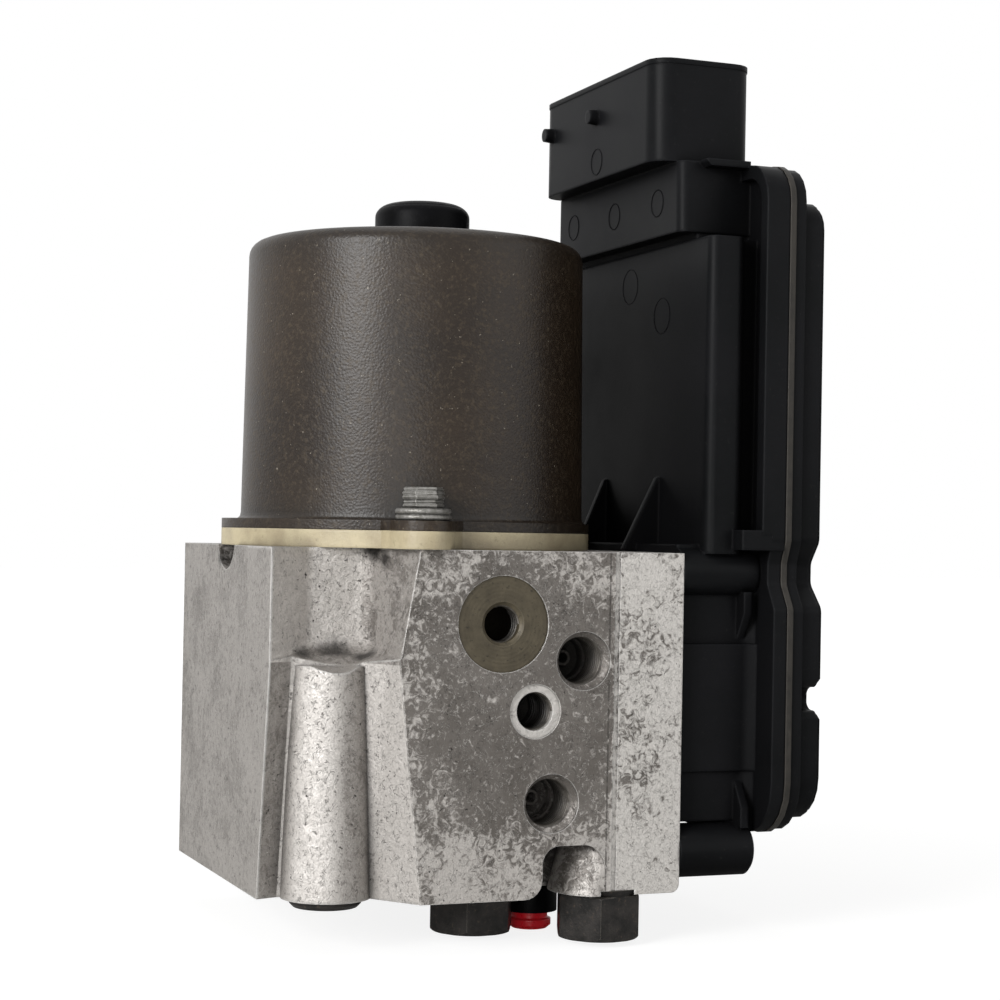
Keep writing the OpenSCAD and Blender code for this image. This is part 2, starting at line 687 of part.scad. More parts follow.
module armature_windings() color([0.72, 0.4, 0.2]) at_origin() {
    fill = 0.15;
    translate([motor_x, motor_y, 0]) {
        for (z = [core_z - coil_end, core_z + core_h + fill]) translate([0, 0, z])
            rotate_extrude($fn = 48)
                polygon([[10, 0], [24, 0], [26, 2], [26, coil_end - fill], [10, coil_end - fill]]);
        for (i = [0 : slots - 1]) rotate([0, 0, 360 / slots * i])
            box([core_r - slot_deep + fill, -slot_w / 2 + fill, core_z - fill - eps],
                [core_r - 2 - fill, slot_w / 2 - fill, core_z + core_h + fill + eps]);
    }
}
module commutator() color([0.75, 0.45, 0.3]) at_origin() {
    translate([motor_x, motor_y, plate_t + 3]) difference() {
        union() {
            cylinder(h = 10, r = commutator_r);
            translate([0, 0, 8.4]) cylinder(h = 1.6, r = commutator_r + 0.8);
        }
        translate([0, 0, -over]) cylinder(h = 12 + over, r = shaft_r);
        for (i = [0 : slots - 1]) rotate([0, 0, 360 / slots * (i + 0.5)])
            box([commutator_r - 1, -0.3, -over], [commutator_r + 2, 0.3, 12]);
    }
}
shaft_foot = chamber_floor + 1;
shaft_top = can_top + cup_h - can_t - 0.4;
shaft_step = can_top - 6.6;
journal_z0 = -pump_depth - 5;
journal_z1 = -pump_depth + 5;
module motor_shaft() color([0.7, 0.7, 0.72]) at_origin() {
    translate([motor_x, motor_y, 0]) {
        translate([0, 0, shaft_foot]) cylinder(h = journal_z0 - shaft_foot + eps, r = shaft_r - 0.6);
        translate([throw, 0, journal_z0]) cylinder(h = journal_z1 - journal_z0, r = journal_r);
        translate([0, 0, journal_z1 - eps]) cylinder(h = shaft_step - journal_z1, r = shaft_r);
        translate([0, 0, shaft_step - 2 * eps]) cylinder(h = shaft_top - shaft_step, r = upper_shaft_r);
    }
}
module eccentric_ring() color([0.6, 0.62, 0.64]) at_origin() {
    translate([motor_x + throw, motor_y, journal_z0 + 0.2]) difference() {
        cylinder(h = journal_z1 - journal_z0 - 0.4, r = ring_r);
        translate([0, 0, -over]) cylinder(h = 20, r = journal_r + run_gap);
    }
}
// A ball bearing: two rings, a row of balls between them
module ball_bearing(r_out, r_in, h) {
    mid = (r_out + r_in) / 2;
    ball = (r_out - r_in) * 0.28;
    land = (r_out - r_in) * 0.3;
    difference() {
        cylinder(h = h, r = r_out);
        translate([0, 0, -over]) cylinder(h = h + 2 * over, r = r_out - land);
        translate([0, 0, h / 2]) rotate_extrude() translate([mid, 0]) circle(r = ball + run_gap);
    }
    difference() {
        cylinder(h = h, r = r_in + land);
        translate([0, 0, -over]) cylinder(h = h + 2 * over, r = r_in);
        translate([0, 0, h / 2]) rotate_extrude() translate([mid, 0]) circle(r = ball + run_gap);
    }
    for (i = [0 : 6]) rotate([0, 0, 360 / 7 * i]) translate([mid, 0, h / 2]) sphere(r = ball);
}
module lower_bearing() color([0.66, 0.67, 0.7]) at_origin() {
    translate([motor_x, motor_y, -lower_bearing_h])
        ball_bearing(lower_bearing_r, shaft_r + run_gap, lower_bearing_h);
}
module upper_bearing() color([0.66, 0.67, 0.7]) at_origin() {
    translate([motor_x, motor_y, can_top + cup_h - can_t - upper_bearing_h - 0.2])
        ball_bearing(upper_bearing_r, upper_shaft_r + run_gap, upper_bearing_h);
}

// Valves: a body in the block, a dome that stands out into its coil, and an armature inside
dome_len = 14;
dome_wall = 0.5;
armature_len = 8;
needle_r = 0.8;
armature_x = block_w + dome_len - 1 - armature_len - valve_travel - 0.1;
module valve(at) {
    difference() {
        union() {
            rod_x(at.x, at.y, block_w - valve_depth, block_w, valve_r);
            rod_x(at.x, at.y, block_w - eps, block_w + dome_len, dome_r);
        }
        rod_x(at.x, at.y, armature_x - 0.1, block_w + dome_len - 1, dome_r - dome_wall);
        rod_x(at.x, at.y, block_w - valve_depth - over, armature_x, needle_r);
        // filter groove round the body
        difference() {
            rod_x(at.x, at.y, block_w - valve_depth + 8, block_w - valve_depth + 11, valve_r + over);
            rod_x(at.x, at.y, block_w - valve_depth + 7, block_w - valve_depth + 12, valve_r - 0.8);
        }
    }
}
// An inlet valve rests open and is pushed shut, an outlet valve rests shut and is pulled open
module armature(at, lift) {
    translate([lift, 0, 0]) {
        rod_x(at.x, at.y, armature_x, armature_x + armature_len, dome_r - dome_wall - run_gap);
        rod_x(at.x, at.y, block_w - valve_depth + 2, armature_x + eps, needle_r - run_gap);
    }
}
module front_inlet_valve() color("goldenrod") at_origin() valve(valve_at[0]);
module front_outlet_valve() color("goldenrod") at_origin() valve(valve_at[1]);
module rear_inlet_valve() color("goldenrod") at_origin() valve(valve_at[2]);
module rear_outlet_valve() color("goldenrod") at_origin() valve(valve_at[3]);
module front_inlet_armature() color("slategray") at_origin() armature(valve_at[0], valve_travel);
module front_outlet_armature() color("slategray") at_origin() armature(valve_at[1], 0);
module rear_inlet_armature() color("slategray") at_origin() armature(valve_at[2], valve_travel);
module rear_outlet_armature() color("slategray") at_origin() armature(valve_at[3], 0);
coil_x = block_w + 1.2;
module solenoid_coils() color([0.5, 0.28, 0.14]) at_origin() {
    for (v = valve_at) difference() {
        union() {
            rod_x(v.x, v.y, coil_x, coil_x + 1, coil_r);
            rod_x(v.x, v.y, coil_x + 1 - eps, coil_x + coil_len - 1 + eps, coil_r - 0.8);
            rod_x(v.x, v.y, coil_x + coil_len - 1, coil_x + coil_len, coil_r);
        }
        rod_x(v.x, v.y, coil_x - over, coil_x + coil_len + over, dome_r + run_gap);
    }
}

// Controller housing: stations along X from the block's right face
face_x = block_w;
tier_x = face_x + 5.8;
tier_end_x = face_x + 15;
neck_x = face_x + 1.7;
conn_x = face_x - 4;
conn_w = 26;
flare_x = face_x + 17;
rim_x0 = face_x + 17.5;
web_x0 = rim_x0 + 2.5;
web_x1 = web_x0 + 2;
rim_x1 = rim_x0 + 6;
gasket_x1 = rim_x1 + gasket_t;
flange_x1 = gasket_x1 + cover_flange_t;
cover_x1 = flange_x1 + cover_rise;
// Half widths in Y of each tier, and their heights
tier_half = rim_half - 4.9;
setback_half = rim_half - 9.5;
neck_half = rim_half - 13.4;
conn_half = rim_half - 15.9;
lower_half = rim_half - 9;
panel_proud = 1;
rim_lower_out = 1.4;
lip_t = 3.2;
tier_top = 73.7;
neck_top = 92;
neck_floor = 75.3;
lower_top = 2;
lower_floor = -62;
panel_top = -21;
panel_floor = -50.4;
rim_top = 91.2;
rim_floor = -65.2;
ledge_top = 5.6;
ledge_x = face_x + 12.4;
lug_x1 = face_x + 17.9;
conn_corner = 5.4;
conn_floor = neck_top + 2.5;
waist_z = -4.4;
waist_deep = 2;
cover_waist = 3.8;

// Outline of the rim in Y and Z, moved inwards by a distance, with a waist at each upper screw
function rim_pts(in, waist) =
    let (h = rim_half - in, l = rim_half + rim_lower_out - in, w = rim_half - waist - in,
         t = rim_top - in, b = rim_floor + in)
    [[-l, b], [-l, waist_z - 8], [-w, waist_z - 2.5], [-w, waist_z + 2.5], [-h, waist_z + 7.5], [-h, t],
     [h, t], [h, waist_z + 7.5], [w, waist_z + 2.5], [w, waist_z - 2.5], [l, waist_z - 8], [l, b]];
function rim_radii(in) =
    let (top = max(1, 9 - in), low = max(1, 12.5 - in), bend = 3)
    [low, bend, bend, bend, bend, top, top, bend, bend, bend, bend, low];
module rim_outline(in, waist = waist_deep) {
    translate([ctrl_y, 0]) polygon(rounded(rim_pts(in, waist), rim_radii(in), 5));
}
module round_box(x0, x1, half, z0, z1, r) {
    // a box with its four vertical edges rounded
    y0 = ctrl_y - half;
    y1 = ctrl_y + half;
    up(z0, z1) polygon(all_round([[x0, y0], [x1, y0], [x1, y1], [x0, y1]], r, 5));
}
upper_boss_r = 5.6;
lower_boss_r = 6.2;
upper_boss_end = face_x + 20;
lower_boss_end = face_x + 19.2;
function boss_r(s) = s.y > -30 ? upper_boss_r : lower_boss_r;
function boss_end(s) = s.y > -30 ? upper_boss_end : lower_boss_end;
head_seat = 3.5;
module bosses() {
    for (s = screw_at) {
        rod_x(s.x, s.y, face_x, boss_end(s) - 0.6, boss_r(s));
        rod_x(s.x, s.y, boss_end(s) - 0.6 - eps, boss_end(s), boss_r(s), boss_r(s) - 0.6);
    }
}
module boss_holes() {
    for (s = screw_at) {
        rod_x(s.x, s.y, face_x - over, rim_x1 + over, screw_r + 0.3);
        rod_x(s.x, s.y, boss_end(s) - head_seat, rim_x1 + over, screw_head_r + 0.4);
    }
}
gusset_t = 1.8;
module gusset(y, reach, height) {
    // a triangular rib that stands on the shelf against the tall tier
    translate([0, y + gusset_t / 2, 0]) rotate([90, 0, 0]) linear_extrude(gusset_t)
        polygon([[tier_x + 1, lower_top - 1], [tier_x + 1, height], [tier_x - 0.6, height],
                 [tier_x - reach, loose_gap + 0.4], [tier_x - reach, loose_gap],
                 [face_x + eps, loose_gap], [face_x + eps, lower_top - 1]]);
}
module boss_gusset(k, z_boss, z_face) {
    // a tapered rib across the side face, from the front of a boss down or up to the face
    side = ctrl_y + k * lower_half;
    front = ctrl_y + k * (screw_dy + upper_boss_r - 0.6);
    along_x(flare_x - 1.2, flare_x + 0.9)
        polygon([[side - k * 1, z_face], [side - k * 1, z_boss], [front, z_boss],
                 [front, z_boss + (z_face - z_boss) * 0.45], [side, z_face]]);
}
// Plan of the side wall that sweeps out to the rim: a concave curve at each side
sweep_steps = 6;
function sweep(out) =
    let (y0 = lower_half + out, y1 = rim_half + rim_lower_out, dx = rim_x1 - flare_x)
    [for (i = [0 : sweep_steps])
        let (t = 62 * i / sweep_steps)
        [flare_x + dx * sin(t) / sin(62), y0 + (y1 - y0) * (1 - cos(t)) / (1 - cos(62))]];
module swept_wall(out, z0, z1) {
    half = sweep(out);
    plan = concat([[flare_x - 3, lower_half + out - 1]], half,
                  [for (i = [sweep_steps : -1 : 0]) [half[i].x, -half[i].y]],
                  [[flare_x - 3, -lower_half - out + 1]]);
    intersection() {
        up(z0, z1) translate([0, ctrl_y]) polygon(plan);
        along_x(face_x, rim_x1) rim_outline(0);
    }
}
module conn_lug(y) {
    // a short block between the neck and the connector, with its lower front corner cut off
    translate([0, y + 2.6, 0]) rotate([90, 0, 0]) linear_extrude(5.2)
        polygon([[tier_x + 2, neck_top - 1.4], [lug_x1, neck_top - 1.4], [lug_x1, neck_top + 0.2],
                 [tier_x + 0.8, neck_top + 0.2], [tier_x + 0.8, neck_top - 0.4]]);
}
module housing_body() {
    // lower box against the block, with a proud panel between the screw bosses
    round_box(face_x, flare_x + 1, lower_half, lower_floor, lower_top, 1);
    round_box(face_x, flare_x + 1, lower_half + panel_proud, panel_floor, panel_top, 1);
    swept_wall(0, rim_floor - over, ledge_top);
    swept_wall(panel_proud, panel_floor, panel_top);
    // tall tier behind the motor, set back to a slot before the rim's lip
    round_box(tier_x, tier_end_x, tier_half, 0, tier_top, 2.4);
    round_box(tier_x + 2, web_x1, setback_half, 0, tier_top, 1);
    // slot's floor at the foot of the rim's lip
    round_box(ledge_x, rim_x1, rim_half - 0.1, lower_top - over, ledge_top, 0.4);
    // neck tier and connector shell
    round_box(neck_x, web_x1, neck_half, neck_floor, neck_top + eps, 2.3);
    round_box(tier_x + 0.5, web_x1, neck_half - 0.5, tier_top - 1, neck_floor + 4, 1);
    round_box(conn_x, conn_x + conn_w, conn_half, neck_top, conn_top - 1.2, conn_corner);
    round_box(conn_x - 0.2, conn_x + conn_w + 0.2, conn_half + 0.2, conn_top - 1.2, conn_top,
              conn_corner + 0.2);
    // rim with its web and its lip
    along_x(web_x0, rim_x1) rim_outline(0);
    difference() {
        along_x(rim_x0, web_x0 + eps) rim_outline(0);
        along_x(rim_x0 - over, web_x0 + over) rim_outline(lip_t);
        box([rim_x0 - over, -rim_half, rim_floor - 5], [web_x0 + over, block_d + rim_half, ledge_top - over]);
    }
    bosses();
    for (k = [-1, 1]) {
        boss_gusset(k, screw_hi - upper_boss_r + 1, panel_top + 1);
        boss_gusset(k, screw_lo + lower_boss_r - 1, panel_floor - 2.4);
    }
    gusset(ctrl_y - 18.5, 9.2, 18);
    gusset(ctrl_y + 12, 8, 18);
    // lugs under the connector's ends
    for (k = [-1, 1]) conn_lug(ctrl_y + k * 38);
    // key pegs on the connector's motor side
    for (p = [[-0.2, 107.6], [27.6, 107.6]])
        rod_x(ctrl_y + p.x, p.y, conn_x - 2.4, conn_x + 1, 1.7, 2);
}
module housing_hollow() {
    // room for the coils, the board and the terminals, open to the cover
    round_box(face_x + wall, web_x1 + over, lower_half - wall, lower_floor + wall, lower_top - wall, 1);
    round_box(tier_x + wall, tier_end_x - wall, tier_half - wall, lower_top - wall - eps, tier_top - wall, 1);
    round_box(tier_x + wall, web_x1 + over, setback_half - wall, lower_top - wall - eps, tier_top - wall, 1);
    round_box(tier_x + wall, web_x1 + over, neck_half - wall, tier_top - wall - eps, neck_top - wall, 1);
    round_box(neck_x + wall, web_x1 + over, neck_half - wall, neck_floor + wall, neck_top - wall, 1);
    along_x(web_x1, rim_x1 + over) rim_outline(2.6);
    // window over the valve domes
    box([face_x - over, ctrl_y - valve_dy - coil_r - 1, valve_lo - coil_r - 1],
        [face_x + wall + eps, ctrl_y + valve_dy + coil_r + 1, valve_hi + coil_r + 1]);
}
tower_r = 5.2;
module screw_towers() {
    // tubes that carry the upper screws through the room behind the rim
    for (k = [-1, 1]) {
        rod_x(ctrl_y + k * screw_dy, screw_hi, face_x, upper_boss_end - 0.6, upper_boss_r);
        rod_x(ctrl_y + k * screw_dy, screw_hi, upper_boss_end - over, rim_x1, tower_r);
    }
}
pin_pitch = 2 * (conn_half - wall - 5.5) / (pins - 1);
pin_row = 7;
function pin_y(i) = ctrl_y + (i - (pins - 1) / 2) * pin_pitch;
conn_mid = conn_x + conn_w / 2;
pin_tip = conn_floor + 9;
module pin_slots(grow) {
    half = pin_w / 2 + grow;
    for (k = [-1, 1]) for (i = [0 : pins - 1]) {
        x = conn_mid + k * pin_row / 2;
        box([x - half, pin_y(i) - half, neck_top - wall - over],
            [x + half, pin_y(i) + half, conn_floor + over]);
    }
}
module controller_housing() color([0.09, 0.09, 0.1]) at_origin() {
    difference() {
        union() {
            difference() {
                housing_body();
                housing_hollow();
            }
            screw_towers();
        }
        boss_holes();
        round_box(conn_x + wall, conn_x + conn_w - wall, conn_half - wall, conn_floor, conn_top + over,
                  conn_corner - wall);
        pin_slots(run_gap);
    }
}
board_x = web_x1 + 0.2;
module connector_pins() color([0.72, 0.62, 0.35]) at_origin() {
    for (k = [-1, 1]) for (i = [0 : pins - 1]) {
        x = conn_mid + k * pin_row / 2;
        bend_z = neck_top - wall - 8 + k * 3;
        box([x - pin_w / 2, pin_y(i) - pin_w / 2, bend_z], [x + pin_w / 2, pin_y(i) + pin_w / 2, pin_tip]);
        box([x - pin_w / 2, pin_y(i) - pin_w / 2, bend_z], [board_x, pin_y(i) + pin_w / 2, bend_z + pin_w]);
    }
}
module circuit_board() color([0.1, 0.3, 0.18]) at_origin() {
    hole_r = tower_r + 0.6;
    difference() {
        along_x(board_x, board_x + board_t) rim_outline(4);
        for (k = [-1, 1])
            rod_x(ctrl_y + k * screw_dy, screw_hi, board_x - over, board_x + board_t + over, hole_r);
    }
    // capacitor, driver and processor on the side of the cover
    chip_x = board_x + board_t - eps;
    rod_x(ctrl_y - 24, 40, chip_x, chip_x + 3, 5);
    box([chip_x, ctrl_y + 4, 20], [chip_x + 2, ctrl_y + 24, 40]);
    box([chip_x, ctrl_y - 12, -10], [chip_x + 1.8, ctrl_y + 12, 6]);
}
module cover_gasket() color([0.55, 0.55, 0.57]) at_origin() {
    along_x(rim_x1, gasket_x1) difference() {
        rim_outline(-0.2);
        rim_outline(2.4);
    }
    for (k = [-1, 1]) difference() {
        rod_x(ctrl_y + k * screw_dy, screw_hi, rim_x1, gasket_x1, tower_r);
        rod_x(ctrl_y + k * screw_dy, screw_hi, rim_x1 - over, gasket_x1 + over, screw_head_r + 0.5);
    }
}
cover_t = 2;
panel_in = 2;
notch_z = -33.5;
module cover_panel(in) {
    // the raised panel, with a finger notch in each side
    edge = rim_half + rim_lower_out - panel_in - in;
    lowered = [for (i = [0 : 11]) i == 5 || i == 6 ? [0, -6] : i == 0 || i == 11 ? [0, 1] : [0, 0]];
    translate([ctrl_y, 0]) difference() {
        polygon(rounded(rim_pts(panel_in + in, cover_waist) + lowered, rim_radii(panel_in + in), 5));
        for (k = [-1, 1]) translate([0, notch_z]) polygon(rounded(
            [[k * (edge + 3), -7], [k * (edge - 1.6), -2.7 - in], [k * (edge - 5.4 - in), -2.7 - in],
             [k * (edge - 5.4 - in), 2.7 + in], [k * (edge - 1.6), 2.7 + in], [k * (edge + 3), 7]],
            [0, 2, 2.4, 2.4, 2, 0], 4));
    }
}
module controller_cover() color([0.11, 0.11, 0.12]) at_origin() {
    difference() {
        union() {
            along_x(gasket_x1, flange_x1) rim_outline(0.4);
            along_x(flange_x1 - eps, cover_x1 - 1) cover_panel(0);
            along_x(cover_x1 - 1 - eps, cover_x1) cover_panel(0.8);
        }
        difference() {
            along_x(gasket_x1 - over, cover_x1 - cover_t) cover_panel(cover_t + 1.2);
            for (k = [-1, 1]) rod_x(ctrl_y + k * screw_dy, screw_hi, gasket_x1, cover_x1, tower_r + 0.6);
        }
        for (k = [-1, 1])
            rod_x(ctrl_y + k * screw_dy, screw_hi, gasket_x1 - over, cover_x1 + over, screw_head_r + 0.3);
    }
}
module controller_screws() color([0.5, 0.5, 0.48]) at_origin() {
    for (s = screw_at) {
        seat = boss_end(s) - head_seat;
        rod_x(s.x, s.y, face_x - screw_deep, seat + eps, screw_r);
        difference() {
            rod_x(s.x, s.y, seat, seat + screw_head_h, screw_head_r);
            translate([seat + 1.2, s.x, s.y]) rotate([0, 90, 0]) cylinder(h = 5, r = 2, $fn = 6);
        }
    }
}

hydraulic_block();
pump_plugs();
pump_sleeves();
front_pump_piston();
rear_pump_piston();
front_pump_spring();
rear_pump_spring();
hex_plugs();
front_accumulator_piston();
rear_accumulator_piston();
front_accumulator_spring();
rear_accumulator_spring();
damper_plug();
vent_collar();
vent_plug();
motor_end_plate();
motor_can();
motor_cap();
motor_bolts();
motor_washers();
field_magnets();
armature_core();
armature_windings();
commutator();
motor_shaft();
eccentric_ring();
lower_bearing();
upper_bearing();
carbon_brushes();
front_inlet_valve();
front_outlet_valve();
rear_inlet_valve();
rear_outlet_valve();
front_inlet_armature();
front_outlet_armature();
rear_inlet_armature();
rear_outlet_armature();
solenoid_coils();
controller_housing();
connector_pins();
circuit_board();
cover_gasket();
controller_cover();
controller_screws();
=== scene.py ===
# %% [markdown]
# # An anti-lock brake module, dressed for a studio photograph
#
# The object is the hydraulic unit of a car's anti-lock brakes. A cast aluminium block holds the
# valves, an electric motor in a painted steel can stands on it and drives two small pumps, and a
# black plastic controller is screwed to its side.
#
# The solid model is already exact, so this lesson keeps its parts and gives them real surfaces.
# Only what the solids leave out is modelled here: screw threads, forged bolt heads, the motor's
# rubber cap, the marks that moulding tools leave, and the roughness of a casting.

# %% Load the solid model as a fixed frame
import json
import math

import bpy
import bmesh
from mathutils import Matrix, Vector


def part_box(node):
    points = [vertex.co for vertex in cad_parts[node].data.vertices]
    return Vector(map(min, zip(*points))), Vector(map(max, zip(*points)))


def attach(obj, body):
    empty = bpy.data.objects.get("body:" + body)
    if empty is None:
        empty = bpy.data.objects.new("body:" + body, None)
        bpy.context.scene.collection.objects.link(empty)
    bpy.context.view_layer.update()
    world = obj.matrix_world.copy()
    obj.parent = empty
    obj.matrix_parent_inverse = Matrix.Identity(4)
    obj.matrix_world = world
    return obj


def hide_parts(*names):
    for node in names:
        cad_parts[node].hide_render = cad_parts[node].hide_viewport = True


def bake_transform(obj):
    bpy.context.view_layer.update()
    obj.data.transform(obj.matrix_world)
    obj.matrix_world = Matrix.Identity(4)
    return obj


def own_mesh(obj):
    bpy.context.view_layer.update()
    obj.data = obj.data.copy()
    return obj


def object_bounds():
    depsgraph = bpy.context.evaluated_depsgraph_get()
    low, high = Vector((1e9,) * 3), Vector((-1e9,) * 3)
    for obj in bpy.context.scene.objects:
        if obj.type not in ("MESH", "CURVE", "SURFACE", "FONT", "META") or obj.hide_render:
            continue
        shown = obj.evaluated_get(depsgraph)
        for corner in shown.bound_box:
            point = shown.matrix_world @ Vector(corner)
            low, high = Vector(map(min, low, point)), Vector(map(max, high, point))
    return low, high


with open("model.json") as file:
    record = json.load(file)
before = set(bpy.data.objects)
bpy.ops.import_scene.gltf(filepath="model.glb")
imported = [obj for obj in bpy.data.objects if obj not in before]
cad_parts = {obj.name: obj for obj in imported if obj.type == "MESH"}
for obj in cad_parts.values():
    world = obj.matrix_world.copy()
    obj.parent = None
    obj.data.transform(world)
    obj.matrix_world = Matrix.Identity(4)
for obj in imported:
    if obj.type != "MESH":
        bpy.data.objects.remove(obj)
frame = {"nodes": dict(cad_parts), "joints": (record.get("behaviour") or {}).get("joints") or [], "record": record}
solid_low, solid_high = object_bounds()
solids = frame["nodes"]

# %% [markdown]
# ## Units and places
#
# Blender works in metres, but a machine part is thought of in millimetres, so one small function
# turns a place that is measured on the block into Blender's frame. The block's left, front and top
# faces are the zero planes of the drawing. The frame's own origin is the mouth of the threaded
# hole in the port face, which is where the vehicle's bracket takes hold.

# %% Millimetres on the block to metres in the frame
MM = 0.001
ORIGIN = Vector((58.6, 0.5, -35.7))


def place(right, back, up):
    """A point in mm from the block's left, front and top faces, in the frame's metres."""
    return (Vector((right, back, up)) - ORIGIN) * MM


block_low, block_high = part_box("hydraulic_block")
print("block in mm:", [round(v / MM, 1) for v in block_high - block_low])

# %% [markdown]
# ## The camera
#
# The photograph was taken from the front left, a little above the middle of the block, with a lens
# long enough to keep the upright edges nearly parallel. The camera's place was worked out from the
# block's corners: 21.6 degrees round from the port face, under a degree of upward tilt, and just
# over a degree of roll. Making the camera first lets every later step be judged from the real view.

# %% Set up the camera
camera_data = bpy.data.cameras.new("camera")
camera_data.sensor_width = 36
camera_data.lens = 76.9
camera_data.clip_start = 0.01
camera = bpy.data.objects.new("camera", camera_data)
camera.location = place(-124.8, -439.3, 4.1)
turn = Matrix.Rotation(math.radians(-21.6), 4, "Z")
tilt = Matrix.Rotation(math.radians(90.86), 4, "X")
roll = Matrix.Rotation(math.radians(1.06), 4, "Z")
camera.rotation_euler = (turn @ tilt @ roll).to_euler()
bpy.context.collection.objects.link(camera)
bpy.context.scene.camera = camera
print("camera at", [round(v, 3) for v in camera.location])

# %% [markdown]
# ## Building shaders with one helper
#
# A procedural material is a small network. Adding a node, setting its options and joining its
# inputs are the same three steps each time, so one function does them. It takes a value or another
# node's output for each input, and the network then reads like a recipe.
#
# Colours are written the way a paint chart gives them, as sRGB hex values. Blender computes with
# linear light, so one function converts them.

# %% The node helper and the colour helper
def node(tree, kind, inputs=None, **settings):
    """Add a node. inputs holds values, or the outputs that feed it, by socket name or number."""
    made = tree.nodes.new(kind)
    for name, value in settings.items():
        setattr(made, name, value)
    for key, value in (inputs or {}).items():
        if isinstance(value, bpy.types.NodeSocket):
            tree.links.new(value, made.inputs[key])
        else:
            made.inputs[key].default_value = value
    return made


def colour(code):
    """An sRGB hex value as linear RGBA."""
    parts = [int(code[i:i + 2], 16) / 255 for i in (1, 3, 5)]
    return [v / 12.92 if v <= 0.04045 else ((v + 0.055) / 1.055) ** 2.4 for v in parts] + [1.0]


def every(mm):
    """The scale of a noise texture whose grains are this many millimetres across."""
    return 1000.0 / mm


def bands(mm):
    """The scale of a wave texture whose bands are this many millimetres apart."""
    return every(mm) * math.tau / 20


# %% [markdown]
# ## Moves that all the finishes share
#
# Real surfaces differ in their numbers more than in their make-up. Nearly every one has cloudy
# patches, coats of dirt and wear laid over one another, a fine grain that the light catches, and
# edges that are a little rounded and rubbed bright. A few helpers make those moves, each out of
# several nodes: a blank material with its coordinates, a cloud, coats of colour, layers of
# relief, and a rounded edge.

# %% A blank material and a cloud
def blank(name, rough, metal=0.0):
    """A material, its tree, its shader and its Object coordinates."""
    material = bpy.data.materials.new(name)
    material.use_nodes = True
    tree = material.node_tree
    shader = tree.nodes["Principled BSDF"]
    shader.inputs["Roughness"].default_value = rough
    shader.inputs["Metallic"].default_value = metal
    return material, tree, shader, node(tree, "ShaderNodeTexCoord").outputs["Object"]


def cloud(tree, where, mm, low=0.4, high=0.6, detail=4.0, harsh=0.55, swirl=0.0):
    """Soft patches about mm across, from 0 to 1, with the cut between low and high."""
    raw = node(tree, "ShaderNodeTexNoise", {
        "Vector": where, "Scale": every(mm), "Detail": detail, "Roughness": harsh, "Distortion": swirl})
    return node(tree, "ShaderNodeMapRange", {
        "Value": raw.outputs["Fac"], "From Min": low, "From Max": high}).outputs["Result"]


# %% [markdown]
# Colour and relief both build up in layers. A coat has a share, which says where on the surface it
# lies, and the most it covers there, which may be a number or another share. A relief is a height
# with its depth in millimetres, and each one bends the normal that the one before it left.

# %% Coats of colour and layers of relief
def coats(tree, skin, *layers):
    """Lay coats over a skin in turn: the share of each, the most it covers there, and its tone."""
    skin = colour(skin) if isinstance(skin, str) else skin
    for share, most, tone in layers:
        if most != 1:
            share = node(tree, "ShaderNodeMath", {0: share, 1: most}, operation="MULTIPLY").outputs["Value"]
        tone = colour(tone) if isinstance(tone, str) else tone
        skin = node(tree, "ShaderNodeMix", {0: share, 6: skin, 7: tone}, data_type="RGBA").outputs[2]
    return skin


def surface(tree, shader, skin, normal, *heights):
    """Give a shader its skin, and a normal that heights bend in turn, each with its depth in mm."""
    for height, depth_mm in heights:
        bent = node(tree, "ShaderNodeBump", {"Height": height, "Distance": depth_mm * MM})
        if normal is not None:
            tree.links.new(normal, bent.inputs["Normal"])
        normal = bent.outputs["Normal"]
    tree.links.new(skin, shader.inputs["Base Color"])
    tree.links.new(normal, shader.inputs["Normal"])


# %% [markdown]
# The rounded edge uses the Bevel shader node. It bends the light near an edge as a small radius
# would, and where its normal departs from the flat one, there is an edge to wear down.

# %% A rounded edge
def soft_edge(tree, radius, low=0.03, high=0.25):
    """A normal rounded over a radius in metres, and a mask that is 1 along the edges."""
    rounded = node(tree, "ShaderNodeBevel", {"Radius": radius}, samples=6).outputs["Normal"]
    flat = node(tree, "ShaderNodeNewGeometry").outputs["Normal"]
    same = node(tree, "ShaderNodeVectorMath", {0: rounded, 1: flat}, operation="DOT_PRODUCT")
    edge = node(tree, "ShaderNodeMapRange", {
        "Value": same.outputs["Value"], "From Min": 1 - low, "From Max": 1 - high})
    return rounded, edge.outputs["Result"]


finish = {}

# %% [markdown]
# ## Aged cast aluminium
#
# The block is die-cast and then machined on its working faces. Years under a bonnet have dulled
# it. The middle of the port face has kept an even, dark skin. Towards the edges the oxide has
# broken up into pale flecks that crowd together, and on the strip by the controller and on the left
# side they nearly join; the paler left side is partly painted light. Short curled marks cover
# everything: they are the grain of the casting, opened by corrosion. The bores and the corners are darkened as
# painted shade.
#
# Aluminium is a metal, but its oxide film scatters light like chalk, so the metallic value stays
# low. One material covers the whole block, so it is built over several cells. The first need is to
# say where on the block something happens: a zone is the product of a few edges, and each edge is
# a coordinate, the place where the zone starts, and the millimetres over which it comes in. A
# negative width turns the edge round, so the zone lies below it.

# %% Zones on the block
def zone(tree, *edges):
    """A share that is 1 past every edge. An edge is a coordinate, its start, and its width in mm."""
    inside = None
    for value, start, width in edges:
        past = node(tree, "ShaderNodeMapRange", {
            "Value": value, "From Min": start - width * MM / 2,
            "From Max": start + width * MM / 2}).outputs["Result"]
        inside = past if inside is None else node(
            tree, "ShaderNodeMath", {0: inside, 1: past}, operation="MULTIPLY").outputs["Value"]
    return inside


